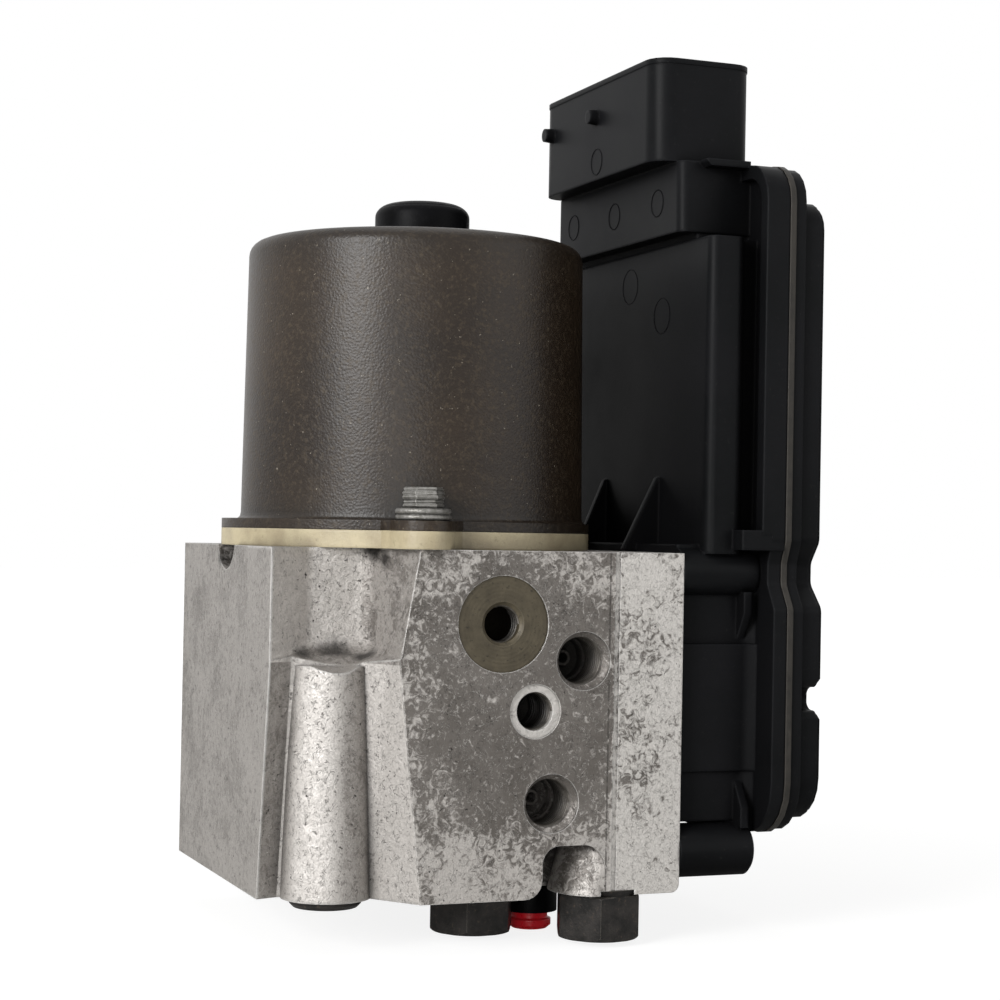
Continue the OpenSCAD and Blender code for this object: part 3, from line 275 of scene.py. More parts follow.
finish["cast_aluminium"], tree, alloy, where = blank("aged_cast_aluminium", 0.45, 0.30)
alloy.inputs["Specular IOR Level"].default_value = 0.4
apart = node(tree, "ShaderNodeSeparateXYZ", {"Vector": where}).outputs
normal = node(tree, "ShaderNodeNewGeometry").outputs["Normal"]
facing = node(tree, "ShaderNodeSeparateXYZ", {"Vector": normal}).outputs

# the scooped corner is as cast, with soft folds; everything else was machined
cast_edges = (
    (apart["X"], place(33, 0, 0).x, -0.2), (apart["Y"], place(0, 30, 0).y, -0.2),
    (apart["Y"], place(0, 0.25, 0).y, 0.2))
cast = zone(tree, *cast_edges)
flank_edge = (apart["X"], place(24.5, 0, 0).x, 2.0)
pocket_edge = (apart["Z"], place(0, 0, -25.2).z, 0.3)
flank, pocket = zone(tree, flank_edge), zone(tree, pocket_edge)
strip = zone(tree, (apart["X"], place(77.5, 0, 0).x, 1.0))
low_front = zone(tree, (apart["Z"], place(0, 0, -60).z, -8.0), (apart["Y"], place(0, 2, 0).y, -0.5))
# the left side gets a paler skin and more pale flecks: partly oxide, partly painted light from the left
left = node(tree, "ShaderNodeMapRange", {
    "Value": facing["X"], "From Min": -0.93, "From Max": -0.99}).outputs["Result"]
ahead = node(tree, "ShaderNodeMapRange", {
    "Value": facing["Y"], "From Min": -0.80, "From Max": -0.97}).outputs["Result"]
plain = node(tree, "ShaderNodeMath", {0: left, 1: cast}, operation="MAXIMUM").outputs["Value"]
print("zones of", finish["cast_aluminium"].name, "are set")

# %% [markdown]
# ### Flecks and curls
#
# The flecks are one fine noise whose cut is lowered by a broad one, so they crowd where the broad
# one is high. Round a heart in the middle of the port face the broad one is held down, and on the
# strip, the left side, the cast corner and the lower front it is raised.
#
# The curled marks are contour lines of a noise: wherever a distorted noise passes the value one
# half there is a thin line, and a second noise breaks the lines into short pieces.

# %% How crowded the pale flecks are
squeeze = 0.8  # on z, so that the dark curls and the clear heart come out taller than wide
squashed = node(tree, "ShaderNodeMapping", {
    "Vector": where, "Scale": (1.0, 1.0, squeeze)}).outputs["Vector"]
heart = place(57, 0, -37)
heart.z *= squeeze
away = node(tree, "ShaderNodeVectorMath", {0: squashed, 1: heart}, operation="DISTANCE")
outer = node(tree, "ShaderNodeMapRange", {
    "Value": away.outputs["Value"], "From Min": 18 * MM, "From Max": 33 * MM,
    "To Min": 0.02}).outputs["Result"]
broad = cloud(tree, where, 11, 0.36, 0.66, detail=6, harsh=0.62, swirl=0.4)
crowd = node(tree, "ShaderNodeMath", {0: broad, 1: outer}, operation="MULTIPLY").outputs["Value"]
for area, more in ((strip, 0.46), (left, 0.25), (cast, 0.25), (low_front, 0.36)):
    crowd = node(tree, "ShaderNodeMath", {
        0: area, 1: more, 2: crowd}, operation="MULTIPLY_ADD").outputs["Value"]
fine = node(tree, "ShaderNodeTexNoise", {
    "Vector": where, "Scale": every(1.9), "Detail": 5.0, "Roughness": 0.66, "Distortion": 1.2})
lifted = node(tree, "ShaderNodeMath", {
    0: crowd, 1: 0.26, 2: fine.outputs["Fac"]}, operation="MULTIPLY_ADD")
flecks = node(tree, "ShaderNodeMapRange", {
    "Value": lifted.outputs["Value"], "From Min": 0.57, "From Max": 0.71}).outputs["Result"]
print("flecks about 2 mm across, sparse within 18 mm of the heart")


# %% Curled marks
def curls(tree, where, mm, width, swirl, part_low, part_high):
    """Short curled lines: contour lines of a distorted noise, broken up by another noise."""
    raw = node(tree, "ShaderNodeTexNoise", {
        "Vector": where, "Scale": every(mm), "Detail": 1.5, "Roughness": 0.5, "Distortion": swirl})
    off = node(tree, "ShaderNodeMath", {0: raw.outputs["Fac"], 1: 0.5}, operation="SUBTRACT")
    size = node(tree, "ShaderNodeMath", {0: off.outputs["Value"]}, operation="ABSOLUTE")
    line = node(tree, "ShaderNodeMapRange", {
        "Value": size.outputs["Value"], "From Min": width, "From Max": 0.0})
    pieces = cloud(tree, where, mm * 0.8, part_low, part_high, detail=1.0)
    short = node(tree, "ShaderNodeMath", {0: line.outputs["Result"], 1: pieces}, operation="MULTIPLY")
    return short.outputs["Value"]


pale_curl = curls(tree, where, 1.35, 0.030, 1.6, 0.46, 0.56)
dark_curl = curls(tree, squashed, 1.5, 0.026, 1.8, 0.50, 0.60)
stain = cloud(tree, where, 17, 0.42, 0.64, detail=8, harsh=0.66, swirl=0.3)
grain = cloud(tree, where, 0.45, 0.3, 0.7, detail=3)
pores = cloud(tree, where, 1.2, 0.66, 0.71, detail=4, harsh=0.6)
print("marks on the casting: pale and dark curls, stain, grain and pores")

# %% [markdown]
# ### The skin and its coats
#
# A painted highlight lightens the cast corner where it faces the light: the column below the ledge
# towards the left and the pocket above it towards the front. A dot product of the normal with a
# direction gives that, and the zone of the pocket chooses between the two directions.

# %% A painted highlight on the cast corner
# faces of the cast corner that are turned towards the light get a painted highlight
lit_from_left, lit_from_front = (
    node(tree, "ShaderNodeVectorMath", {0: normal, 1: wind}, operation="DOT_PRODUCT").outputs["Value"]
    for wind in ((-0.60, -0.80, 0.0), (0.25, -0.97, 0.0)))
towards = node(tree, "ShaderNodeMapRange", {
    "Value": pocket, "To Min": lit_from_left, "To Max": lit_from_front})
bright = node(tree, "ShaderNodeMapRange", {
    "Value": towards.outputs["Result"], "From Min": 0.70, "From Max": 0.92})
on_flank = node(tree, "ShaderNodeMapRange", {"Value": flank, "To Min": 0.95, "To Max": 0.6})
painted_highlight = node(tree, "ShaderNodeMath", {
    0: bright.outputs["Result"], 1: on_flank.outputs["Result"]}, operation="MULTIPLY").outputs["Value"]
# painted shade: the pocket's right flank above the ledge is darkened
flank_shade = zone(tree, flank_edge, pocket_edge, *cast_edges)
print("grit from the left on the column, and from the front in the pocket")

# %% Coats of the aluminium
fleck_share, dark_share = (
    node(tree, "ShaderNodeMapRange", {"Value": plain, "To Min": faced, "To Max": as_cast}).outputs["Result"]
    for faced, as_cast in ((1.0, 0.5), (0.34, 0.8)))
# the paler skin on the left side is partly painted light, the bright coat on the cast corner is a painted
# highlight, and the dark coat on the pocket's flank is painted shade
skin = coats(
    tree, "#6f6a65",
    (stain, 1, "#5a5550"),
    (plain, 1, coats(tree, "#8f8a85", (stain, 1, "#7e7974"))),
    (painted_highlight, cast, "#e0dbd6"),
    (flank_shade, 0.55, "#5f5a56"),
    (flecks, fleck_share, coats(tree, "#bdb8b3", (strip, 1, "#d1cdc8"))),
    (grain, 0.26, "#5b5651"),
    (pale_curl, 0.5, "#d2cec9"),
    (dark_curl, dark_share, "#37332f"),
    (pores, 1, "#2f2b28"))
print("nine coats on the aluminium")

# %% [markdown]
# ### Marks of the machine tool, wear and dirt
#
# A cutter has left a dark line and a bright burr between the port face and the strip, and the seat
# round the bracket's thread was cut clean. Edges are rubbed bright where they stand free, and where
# they lie in a hollow they are darkened as painted shade. Ambient Occlusion measures that within 7 mm of the block
# itself.

# %% Machined line and bright seat
for across, half, most, tone in ((76.4, 0.22, 0.7, "#3a3632"), (78.2, 0.38, 0.75, "#d9d5d0")):
    line = node(tree, "ShaderNodeMath", {
        0: apart["X"], 1: place(across, 0, 0).x, 2: half * MM}, operation="COMPARE").outputs["Value"]
    broken = cloud(tree, where, 2.5, 0.36, 0.46, detail=3)
    line = node(tree, "ShaderNodeMath", {0: line, 1: broken}, operation="MULTIPLY").outputs["Value"]
    line = node(tree, "ShaderNodeMath", {0: line, 1: ahead}, operation="MULTIPLY").outputs["Value"]
    skin = coats(tree, skin, (line, most, tone))
# the frame's origin is the mouth of the bracket's thread, so its seat is a ring round the origin
flat_on = node(tree, "ShaderNodeVectorMath", {0: where, 1: (1.0, 0.0, 1.0)}, operation="MULTIPLY")
reach = node(tree, "ShaderNodeVectorMath", {0: flat_on.outputs["Vector"]}, operation="LENGTH")
seat = zone(tree, (reach.outputs["Value"], 6.1 * MM, -0.2), (apart["Y"], 1.2 * MM, -0.4))
skin = coats(tree, skin, (seat, 0.75, "#d6d2cd"))
print("the cutter's line, its burr and the bracket's seat are drawn")

# %% Rubbed edges and painted shade in hollows
radius = node(tree, "ShaderNodeMapRange", {"Value": cast, "To Min": 0.4 * MM, "To Max": 1.2 * MM})
rounded_normal, edge = soft_edge(tree, radius.outputs["Result"])
hollow = node(tree, "ShaderNodeAmbientOcclusion", {
    "Distance": 7 * MM}, samples=8, only_local=True).outputs["AO"]
free = node(tree, "ShaderNodeMapRange", {"Value": hollow, "From Min": 0.72, "From Max": 0.92})
rub = node(tree, "ShaderNodeMath", {
    0: edge, 1: free.outputs["Result"]}, operation="MULTIPLY").outputs["Value"]
# painted shade: hollows within 7 mm of the block's own faces get a dark coat
hollow_shade = node(tree, "ShaderNodeMapRange", {
    "Value": hollow, "From Min": 0.70, "From Max": 0.25, "To Max": 0.9}).outputs["Result"]
# the lower pipe port gets less painted shade than the others
lower_port = zone(tree, (apart["Z"], place(0, 0, -50).z, -2.0), (apart["X"], place(38, 0, 0).x, 0.5),
             (apart["Z"], place(0, 0, -66).z, 0.5))
shade_kept = node(tree, "ShaderNodeMapRange", {"Value": lower_port, "To Min": 1.0, "To Max": 0.3}).outputs["Result"]
skin = coats(tree, skin, (rub, 0.8, "#efedea"), (hollow_shade, shade_kept, "#1f1c1a"))
print("edges rounded by 0.4 mm where machined and 1.2 mm where cast")


# %% Painted shade above the ledge and under the motor's plate
def darken_spots(tree, where, spots, skin, dark):
    """Painted shade with a ragged outline round some spots, each a place in mm and a radius."""
    ragged = node(tree, "ShaderNodeTexNoise", {
        "Vector": where, "Scale": every(2.2), "Detail": 5.0, "Roughness": 0.7})
    for spot, radius in spots:
        away = node(tree, "ShaderNodeVectorMath", {0: where, 1: place(*spot)}, operation="DISTANCE")
        rough = node(tree, "ShaderNodeMath", {
            0: ragged.outputs["Fac"], 1: radius * MM, 2: away.outputs["Value"]}, operation="MULTIPLY_ADD")
        near = node(tree, "ShaderNodeMapRange", {
            "Value": rough.outputs["Value"], "From Min": 1.45 * radius * MM, "From Max": 0.85 * radius * MM})
        skin = coats(tree, skin, (near.outputs["Result"], 0.9, dark))
    return skin


# both lists of spots are painted shade: under the plate's overhang and above the ledge
shade_under_plate = [((25.5, 16.0, 0), 4.2), ((27.0, 12.5, -2.5), 2.6), ((0.8, 53.6, -1.5), 5.2)]
shade_over_ledge = [((17, 18.5, -24.5), 5.5), ((22.5, 13, -24.0), 3.6), ((9, 16, -24.5), 3.4)]
skin = darken_spots(tree, where, shade_under_plate, skin, "#1c1917")
skin = coats(tree, skin, (pocket, 1, darken_spots(tree, where, shade_over_ledge, skin, "#1c1917")))
print("soot at", len(shade_under_plate) + len(shade_over_ledge), "spots")

# %% Painted shade in the bores, shine and relief
# painted shade: the walls of the bores, from 10 mm inside the port face, are darkened nearly to black
deep = zone(
    tree, (apart["Y"], place(0, 10, 0).y, 9.0), (apart["X"], place(38, 0, 0).x, 0.5),
    (apart["Y"], place(0, 84, 0).y, -6.0), (apart["Z"], place(0, 0, -0.4).z, -0.2),
    (apart["Z"], place(0, 0, -66).z, 0.5), (apart["X"], block_high.x - 0.4 * MM, -0.2))
painted_bore_shade = node(tree, "ShaderNodeMath", {0: deep, 1: shade_kept}, operation="MULTIPLY").outputs["Value"]
skin = coats(tree, skin, (painted_bore_shade, 0.80, "#1a1815"))
rough = node(tree, "ShaderNodeMapRange", {"Value": flecks, "To Min": 0.38, "To Max": 0.47})
rough = node(tree, "ShaderNodeMath", {0: deep, 1: 0.4, 2: rough.outputs["Result"]}, operation="MULTIPLY_ADD")
tree.links.new(rough.outputs["Value"], alloy.inputs["Roughness"])
surface(tree, alloy, skin, rounded_normal,
        (flecks, 0.04), (pale_curl, 0.09), (dark_curl, -0.12), (grain, 0.045))
print("finish:", finish["cast_aluminium"].name, "with", len(tree.nodes), "nodes")


# %% [markdown]
# ## Orange-peel paint on the motor can
#
# The can is deep-drawn steel with a dark bronze paint that was sprayed thick and dried into the
# fine dimples called orange peel. Each dimple is about half a millimetre across and a few
# hundredths deep, so the colour stays nearly even and the shine breaks up into tiny glints. Road
# dust has settled in the dimples and lightens them. A wide, soft highlight needs a middling
# roughness. Painted shade darkens the corners round the flange and the cap, and the top.

# %% Bronze paint
finish["bronze_paint"], tree, paint, where = blank("orange_peel_bronze_paint", 0.40)
paint.inputs["Specular IOR Level"].default_value = 0.33
rounded_normal, edge = soft_edge(tree, 0.4 * MM)
peel = node(tree, "ShaderNodeTexVoronoi", {
    "Vector": where, "Scale": every(0.55), "Smoothness": 0.6}, feature="SMOOTH_F1").outputs["Distance"]
dust = cloud(tree, where, 1.1, 0.50, 0.72, detail=5, harsh=0.7)
tone = cloud(tree, where, 30, 0.35, 0.65, detail=4)
specks = cloud(tree, where, 0.9, 0.70, 0.74, detail=3)
chips = cloud(tree, where, 2.2, 0.62, 0.66, detail=6, harsh=0.7)
# painted shade: Ambient Occlusion over 14 mm darkens the corners round the flange and the cap
corner = node(tree, "ShaderNodeAmbientOcclusion", {"Distance": 14 * MM}, samples=8).outputs["AO"]
painted_shade = node(tree, "ShaderNodeMapRange", {
    "Value": corner, "From Min": 0.95, "From Max": 0.45, "To Max": 0.85}).outputs["Result"]
high = node(tree, "ShaderNodeSeparateXYZ", {"Vector": where}).outputs["Z"]
# painted shade: the can darkens towards its top
top = zone(tree, (high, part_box("motor_can")[1].z - 9 * MM, 12.0))
coat = coats(
    tree, "#1f1710",
    (tone, 1, "#2c2218"),
    (dust, 0.26, "#6d604d"),
    (specks, 0.6, "#a59c8d"),
    (chips, edge, "#a39a8a"),
    (painted_shade, 1, "#12100d"),
    (top, 0.55, "#12100d"))
rough = node(tree, "ShaderNodeMapRange", {"Value": dust, "To Min": 0.37, "To Max": 0.49})
tree.links.new(rough.outputs["Result"], paint.inputs["Roughness"])
surface(tree, paint, coat, rounded_normal, (peel, 0.05))
print("finish:", finish["bronze_paint"].name)

# %% [markdown]
# ## Glass-filled black plastic
#
# The controller's housing and cover are injection-moulded polyester with glass fibre. The steel
# mould was spark-eroded, which leaves an even matt grain far finer than a millimetre, and the
# glass gives a faint cloudiness that shows as grey sheen on the large flat walls. Its edges are
# rounded by nearly a millimetre and catch a thin line of light, which is most of what the eye uses
# to read a black object; a lighter edge tone adds a painted highlight along that line. Walls that face
# the motor at close range get painted shade and less shine, where Ambient Occlusion over 45 mm turns the colour
# and the gloss down.

# %% Black plastic
finish["black_plastic"], tree, plastic, where = blank("glass_filled_polyester", 0.42)
rounded_normal, edge = soft_edge(tree, 0.9 * MM)
haze = cloud(tree, where, 30, 0.35, 0.7, detail=5, harsh=0.6)
dust = cloud(tree, where, 1.2, 0.62, 0.74, detail=5, harsh=0.65)
# painted shade: Ambient Occlusion over 45 mm darkens the walls that face the motor and lowers their shine
near = node(tree, "ShaderNodeAmbientOcclusion", {"Distance": 45 * MM}, samples=8).outputs["AO"]
unshaded_share = node(tree, "ShaderNodeMapRange", {
    "Value": near, "From Min": 0.35, "From Max": 0.85}).outputs["Result"]
# the lighter edge tone is a painted highlight along the rounded edges
resin = coats(tree, "#101112", (haze, 1, "#19191b"), (dust, 0.14, "#4c4b47"), (edge, 0.30, "#333437"))
gloss = node(tree, "ShaderNodeMapRange", {"Value": unshaded_share, "To Min": 0.02, "To Max": 0.055})
tree.links.new(gloss.outputs["Result"], plastic.inputs["Specular IOR Level"])
rough = node(tree, "ShaderNodeMapRange", {"Value": haze, "To Min": 0.34, "To Max": 0.46})
tree.links.new(rough.outputs["Result"], plastic.inputs["Roughness"])
# the real grain is about 0.05 mm, too fine to show, so it is drawn at 0.35 mm
spark = cloud(tree, where, 0.35, 0.3, 0.7, detail=2)
# near the motor the colour falls to the plain black: painted shade
surface(tree, plastic, coats(tree, "#0c0c0d", (unshaded_share, 1, resin)), rounded_normal, (spark, 0.008))
print("finish:", finish["black_plastic"].name)

# %% [markdown]
# ## Turned steel plugs
#
# Each pump is closed by a steel disc that was faced on a lathe, so fine rings run round its own
# centre. Its old zinc-iron plating has gone a dull olive brown. A Wave texture in its ring mode
# draws circles round an axis, once the disc's own centre is taken away from the coordinates. The
# front and the rear plug lie on different axes, so the front half of the object uses the front
# one's centre and the back half the rear one's. A colour can't hold a negative number, so the two
# centres are mixed as vectors.

# %% The centre of each plug
finish["plug_steel"], tree, plug, where = blank("turned_olive_steel", 0.5, 0.25)
thread_mouths = {m["name"]: Vector(m["pos_m"]) for m in frame["record"]["mounts"]}
middle_back = (block_low.y + block_high.y) / 2
along = node(tree, "ShaderNodeSeparateXYZ", {"Vector": where}).outputs["Y"]
back = node(tree, "ShaderNodeMath", {0: along, 1: middle_back}, operation="GREATER_THAN").outputs["Value"]
centre = node(tree, "ShaderNodeMix", {
    0: back, 4: thread_mouths["front_plug_thread"], 5: thread_mouths["rear_plug_thread"]},
    data_type="VECTOR").outputs[1]
local = node(tree, "ShaderNodeVectorMath", {0: where, 1: centre}, operation="SUBTRACT").outputs["Vector"]
print("plug centres:", [name for name in thread_mouths if "plug" in name])

# %% Olive-brown turned steel
rounded_normal, edge = soft_edge(tree, 0.3 * MM)
# the tool left rings about 0.2 mm apart, too fine to show, so they are drawn 0.9 mm apart
rings = node(tree, "ShaderNodeTexWave", {
    "Vector": local, "Scale": bands(0.9), "Distortion": 0.6,
    "Detail": 2.0, "Detail Scale": 2.0}, wave_type="RINGS", rings_direction="Y").outputs["Fac"]
stain = cloud(tree, where, 4.5, 0.35, 0.65, detail=5, harsh=0.65)
pits = cloud(tree, where, 0.8, 0.60, 0.72, detail=3)
inward = node(tree, "ShaderNodeSeparateXYZ", {"Vector": local}).outputs["Y"]
depth = node(tree, "ShaderNodeMath", {0: inward}, operation="ABSOLUTE").outputs["Value"]
# painted shade: deeper than 1.6 mm into the plug's bore the colour is nearly black and the shine is off
plug_bore_shade = zone(tree, (depth, 1.6 * MM, 2.4))
skin = coats(tree, "#463f31", (stain, 1, "#5d5544"), (pits, 1, "#322d23"), (edge, 0.8, "#9a917a"),
             (plug_bore_shade, 0.97, "#080706"))
gloss = node(tree, "ShaderNodeMapRange", {"Value": plug_bore_shade, "To Min": 0.5, "To Max": 0.0})
tree.links.new(gloss.outputs["Result"], plug.inputs["Specular IOR Level"])
surface(tree, plug, skin, rounded_normal, (rings, 0.02), (pits, 0.03))
print("finish:", finish["plug_steel"].name)

# %% [markdown]
# ## Black-oxide steel, zinc plate and the small plastics
#
# The hex plugs were dipped in black oxide, which wears through to brown-grey steel at the corners
# where a spanner grips. The motor's bolts have dull zinc plate. The plate under the can is a
# cream plastic that has yellowed and picked up dirt, the little valve in the underside is
# closed with a clear red cap, and the bead round the cover is grey silicone.
#
# These differ only in colours, sizes and depths, so one recipe makes them all: two tones in
# clouds, specks of a third, a rubbed edge, and a grain for the light.

# %% One recipe for the small finishes
def mottled(name, dark, light, speck, rubbed, patch_mm, grain_mm, depth_mm, rough, metal=0.0,
            speck_share=0.6, edge_mm=0.3, edge_share=0.7, gloss=0.5, painted_shade=0.0):
    """Two tones in patches, specks of a third, a rubbed edge, painted shade in corners, and a fine grain."""
    material, tree, shader, where = blank(name, rough, metal)
    shader.inputs["Specular IOR Level"].default_value = gloss
    rounded_normal, edge = soft_edge(tree, edge_mm * MM)
    patch = cloud(tree, where, patch_mm, 0.36, 0.64, detail=5, harsh=0.62)
    specks = cloud(tree, where, patch_mm / 4, 0.60, 0.72, detail=4, harsh=0.65)
    grain = cloud(tree, where, grain_mm, 0.3, 0.7, detail=3)
    skin = coats(tree, dark, (patch, 1, light), (specks, speck_share, speck), (edge, edge_share, rubbed))
    # painted shade: Ambient Occlusion over 9 mm darkens the corners
    if painted_shade:
        corner = node(tree, "ShaderNodeAmbientOcclusion", {"Distance": 9 * MM}, samples=8).outputs["AO"]
        corner_shade_share = node(tree, "ShaderNodeMapRange", {
            "Value": corner, "From Min": 0.8, "From Max": 0.2, "To Max": painted_shade}).outputs["Result"]
        skin = coats(tree, skin, (corner_shade_share, 1, "#110f0d"))
    spread = node(tree, "ShaderNodeMapRange", {
        "Value": patch, "To Min": rough - 0.06, "To Max": min(1.0, rough + 0.08)})
    tree.links.new(spread.outputs["Result"], shader.inputs["Roughness"])
    surface(tree, shader, skin, rounded_normal, (grain, depth_mm))
    return material


# %% Black oxide, zinc, rubber, plastics and silicone
finish["black_steel"] = mottled(
    "black_oxide_steel", "#1d1c1b", "#322f2d", "#54463a", "#77726a", 4, 0.5, 0.03, 0.42, 0.2, gloss=0.25)
# the zinc bolts and washers get painted shade in their corners
finish["zinc_steel"] = mottled(
    "dull_zinc_plate", "#66645f", "#8f8d89", "#3b3834", "#d9d7d2", 1.6, 0.5, 0.06, 0.36, 0.55, painted_shade=0.6)
finish["black_rubber"] = mottled(
    "moulded_black_rubber", "#080809", "#0f0f11", "#2b2a29", "#1c1c1e", 6, 0.5, 0.015, 0.40,
    speck_share=0.25, edge_mm=0.6, gloss=0.05)
finish["red_plastic"] = mottled(
    "moulded_red_polythene", "#ff2030", "#ff3440", "#d0202c", "#ff5a62", 5, 0.6, 0.01, 0.32,
    speck_share=0.3)
# the cream plate gets painted shade in its corners
finish["cream_plastic"] = mottled(
    "aged_cream_polyamide", "#a3967a", "#bfb393", "#6f644c", "#d8ceb2", 7, 0.5, 0.03, 0.42,
    speck_share=0.5, edge_mm=0.8, edge_share=0.4, painted_shade=0.9)
finish["grey_silicone"] = mottled(
    "cured_grey_silicone", "#2b2926", "#3a3733", "#1f1d1b", "#4c4843", 3, 0.6, 0.02, 0.5,
    edge_mm=0.5, gloss=0.2)
print("small finishes:", sorted(finish))

# %% [markdown]
# ## The finishes inside
#
# A reusable part is looked at from every side and taken apart, so what sits inside is finished
# too: ground and polished steel on the shaft, pistons and bearings, pressed carbon brushes,
# sintered ferrite magnets, brass-coloured valve bodies, and tinned terminals. They use the same
# recipe with the typical tones of those metals.

# %% Metals and compounds inside
finish["bare_steel"] = mottled(
    "ground_steel", "#a3a5a8", "#bcbec0", "#8b8c8e", "#dcdddd", 5, 0.25, 0.01, 0.26, 1.0)
finish["spring_steel"] = mottled(
    "drawn_spring_wire", "#6f7276", "#8c8f93", "#55575a", "#b5b7b9", 2, 0.2, 0.01, 0.34, 1.0)
finish["bearing_steel"] = mottled(
    "polished_bearing_steel", "#b4b6ba", "#c9cbce", "#9a9ca0", "#e2e3e4", 6, 0.3, 0.004, 0.16, 1.0)
finish["valve_steel"] = mottled(
    "turned_valve_steel", "#a0946c", "#b9ad84", "#80754f", "#d7ceb0", 3, 0.25, 0.01, 0.32, 1.0)
finish["terminal_alloy"] = mottled(
    "tinned_terminal_bronze", "#b3aa8a", "#cfc8ad", "#8f8562", "#e4dfcd", 2, 0.3, 0.01, 0.30, 1.0)
finish["ferrite"] = mottled(
    "sintered_ferrite", "#262628", "#353538", "#1a1a1b", "#4a4a4d", 4, 0.3, 0.03, 0.62)
finish["carbon"] = mottled(
    "pressed_carbon_copper", "#1f1e1e", "#2c2a29", "#5a4334", "#3a3836", 2, 0.25, 0.02, 0.55, 0.3)
print("inner finishes:", len(finish))

# %% [markdown]
# ## Finishes with a built-in direction
#
# Three inner parts show how they were built. The armature is a stack of half-millimetre steel
# sheets, so lines run round it. The windings and the solenoid coils are enamelled copper wire.
# The circuit board has a green mask over straight copper tracks. Wave textures draw all three:
# bands across the stack, bands round the wire, and, for the board, blocks of a Brick texture that
# change direction like tracks.

# %% Stacked laminations
finish["core_steel"], tree, iron, where = blank("stacked_laminations", 0.45, 0.9)
# half-millimetre sheets are drawn twice as thick, so that they don't blur together
sheets = node(tree, "ShaderNodeTexWave", {
    "Vector": where, "Scale": bands(1.0)}, wave_type="BANDS", bands_direction="Z").outputs["Fac"]
scale = cloud(tree, where, 5, 0.35, 0.65)
steel = coats(tree, "#5c5f64", (scale, 1, "#7b7e83"))
surface(tree, iron, coats(tree, "#33353a", (sheets, 1, steel)), None, (sheets, 0.05))
print("finish:", finish["core_steel"].name)

# %% Enamelled wire
finish["copper"], tree, wire, where = blank("enamelled_copper_wire", 0.28, 0.9)
turns = node(tree, "ShaderNodeTexWave", {
    "Vector": where, "Scale": bands(0.8), "Distortion": 0.8, "Detail": 1.0},
    wave_type="BANDS", bands_direction="DIAGONAL").outputs["Fac"]
tone = cloud(tree, where, 4, 0.35, 0.65)
enamel = coats(tree, "#8a4a22", (tone, 1, "#b4673a"))
surface(tree, wire, coats(tree, "#4d2610", (turns, 1, enamel)), None, (turns, 0.12))
print("finish:", finish["copper"].name)

# %% Circuit board
finish["laminate"], tree, board, where = blank("solder_masked_laminate", 0.30)
side_on = node(tree, "ShaderNodeMapping", {"Vector": where, "Rotation": (0.0, math.pi / 2, 0.0)})
tracks = node(tree, "ShaderNodeTexBrick", {
    "Vector": side_on.outputs["Vector"], "Scale": every(12), "Mortar Size": 0.03,
    "Color1": colour("#0f3a20"), "Color2": colour("#14472a"), "Mortar": colour("#2f7a4c")}).outputs
haze = cloud(tree, where, 9, 0.35, 0.65)
surface(tree, board, coats(tree, tracks["Color"], (haze, 1, "#123f24")), None, (tracks["Fac"], 0.03))
print("finish:", finish["laminate"].name)

# %% [markdown]
# ## Dress the solid parts
#
# The record that comes with the model names a finish for every part, so one loop puts them all
# on. A part's material goes into its object's own slots, and its mesh is never touched.

# %% Give each solid part its finish
for part in frame["record"]["subparts"]:
    for slot in solids[part["node"]].material_slots:
        slot.link = "OBJECT"
        slot.material = finish[part["material_slot"]]

# %% [markdown]
# ## The ears under the motor can
#
# The can's foot and the plate under it carry two ears for the bolts. In the solids an ear leaves
# the round foot at a sharp inner corner, where the pressed sheet runs in a small curve. On a copy,
# the outline beside each ear can be cut finer, and each of its points moved to the weighted mean
# of its neighbours' distances from the motor's axis. That touches only the outline, and leaves the
# bolt holes alone.

# %% Where the ears are
bolt_axes = [place(32.79, 4.44, 0), place(78.32, 83.29, 0)]
motor_axis = Vector(next(j["pos_m"] for j in frame["joints"] if j["name"] == "motor_spin"))
plate_low, plate_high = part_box("motor_end_plate")
rim = 0.5 * (plate_high.x - plate_low.x)
rim_band = 0.6 * MM  # a point this little inside the rim still belongs to the outline
hole_clear = 4.6 * MM  # nearer than this to a bolt's axis lies the edge of its hole
ear_half = 0.36  # half the angle, in radians, over which an ear and its two corners reach


def round_axis(spot):
    """The angle and the distance of a spot round the motor's axis."""
    across, along = spot.x - motor_axis.x, spot.y - motor_axis.y
    return math.atan2(along, across), math.hypot(across, along)


def near_ear(turn):
    """Whether an angle round the motor's axis is close to an ear."""
    return min(abs((turn - round_axis(p)[0] + math.pi) % math.tau - math.pi) for p in bolt_axes) < ear_half


print("ears at", [round(math.degrees(round_axis(p)[0])) for p in bolt_axes], "degrees round the motor")


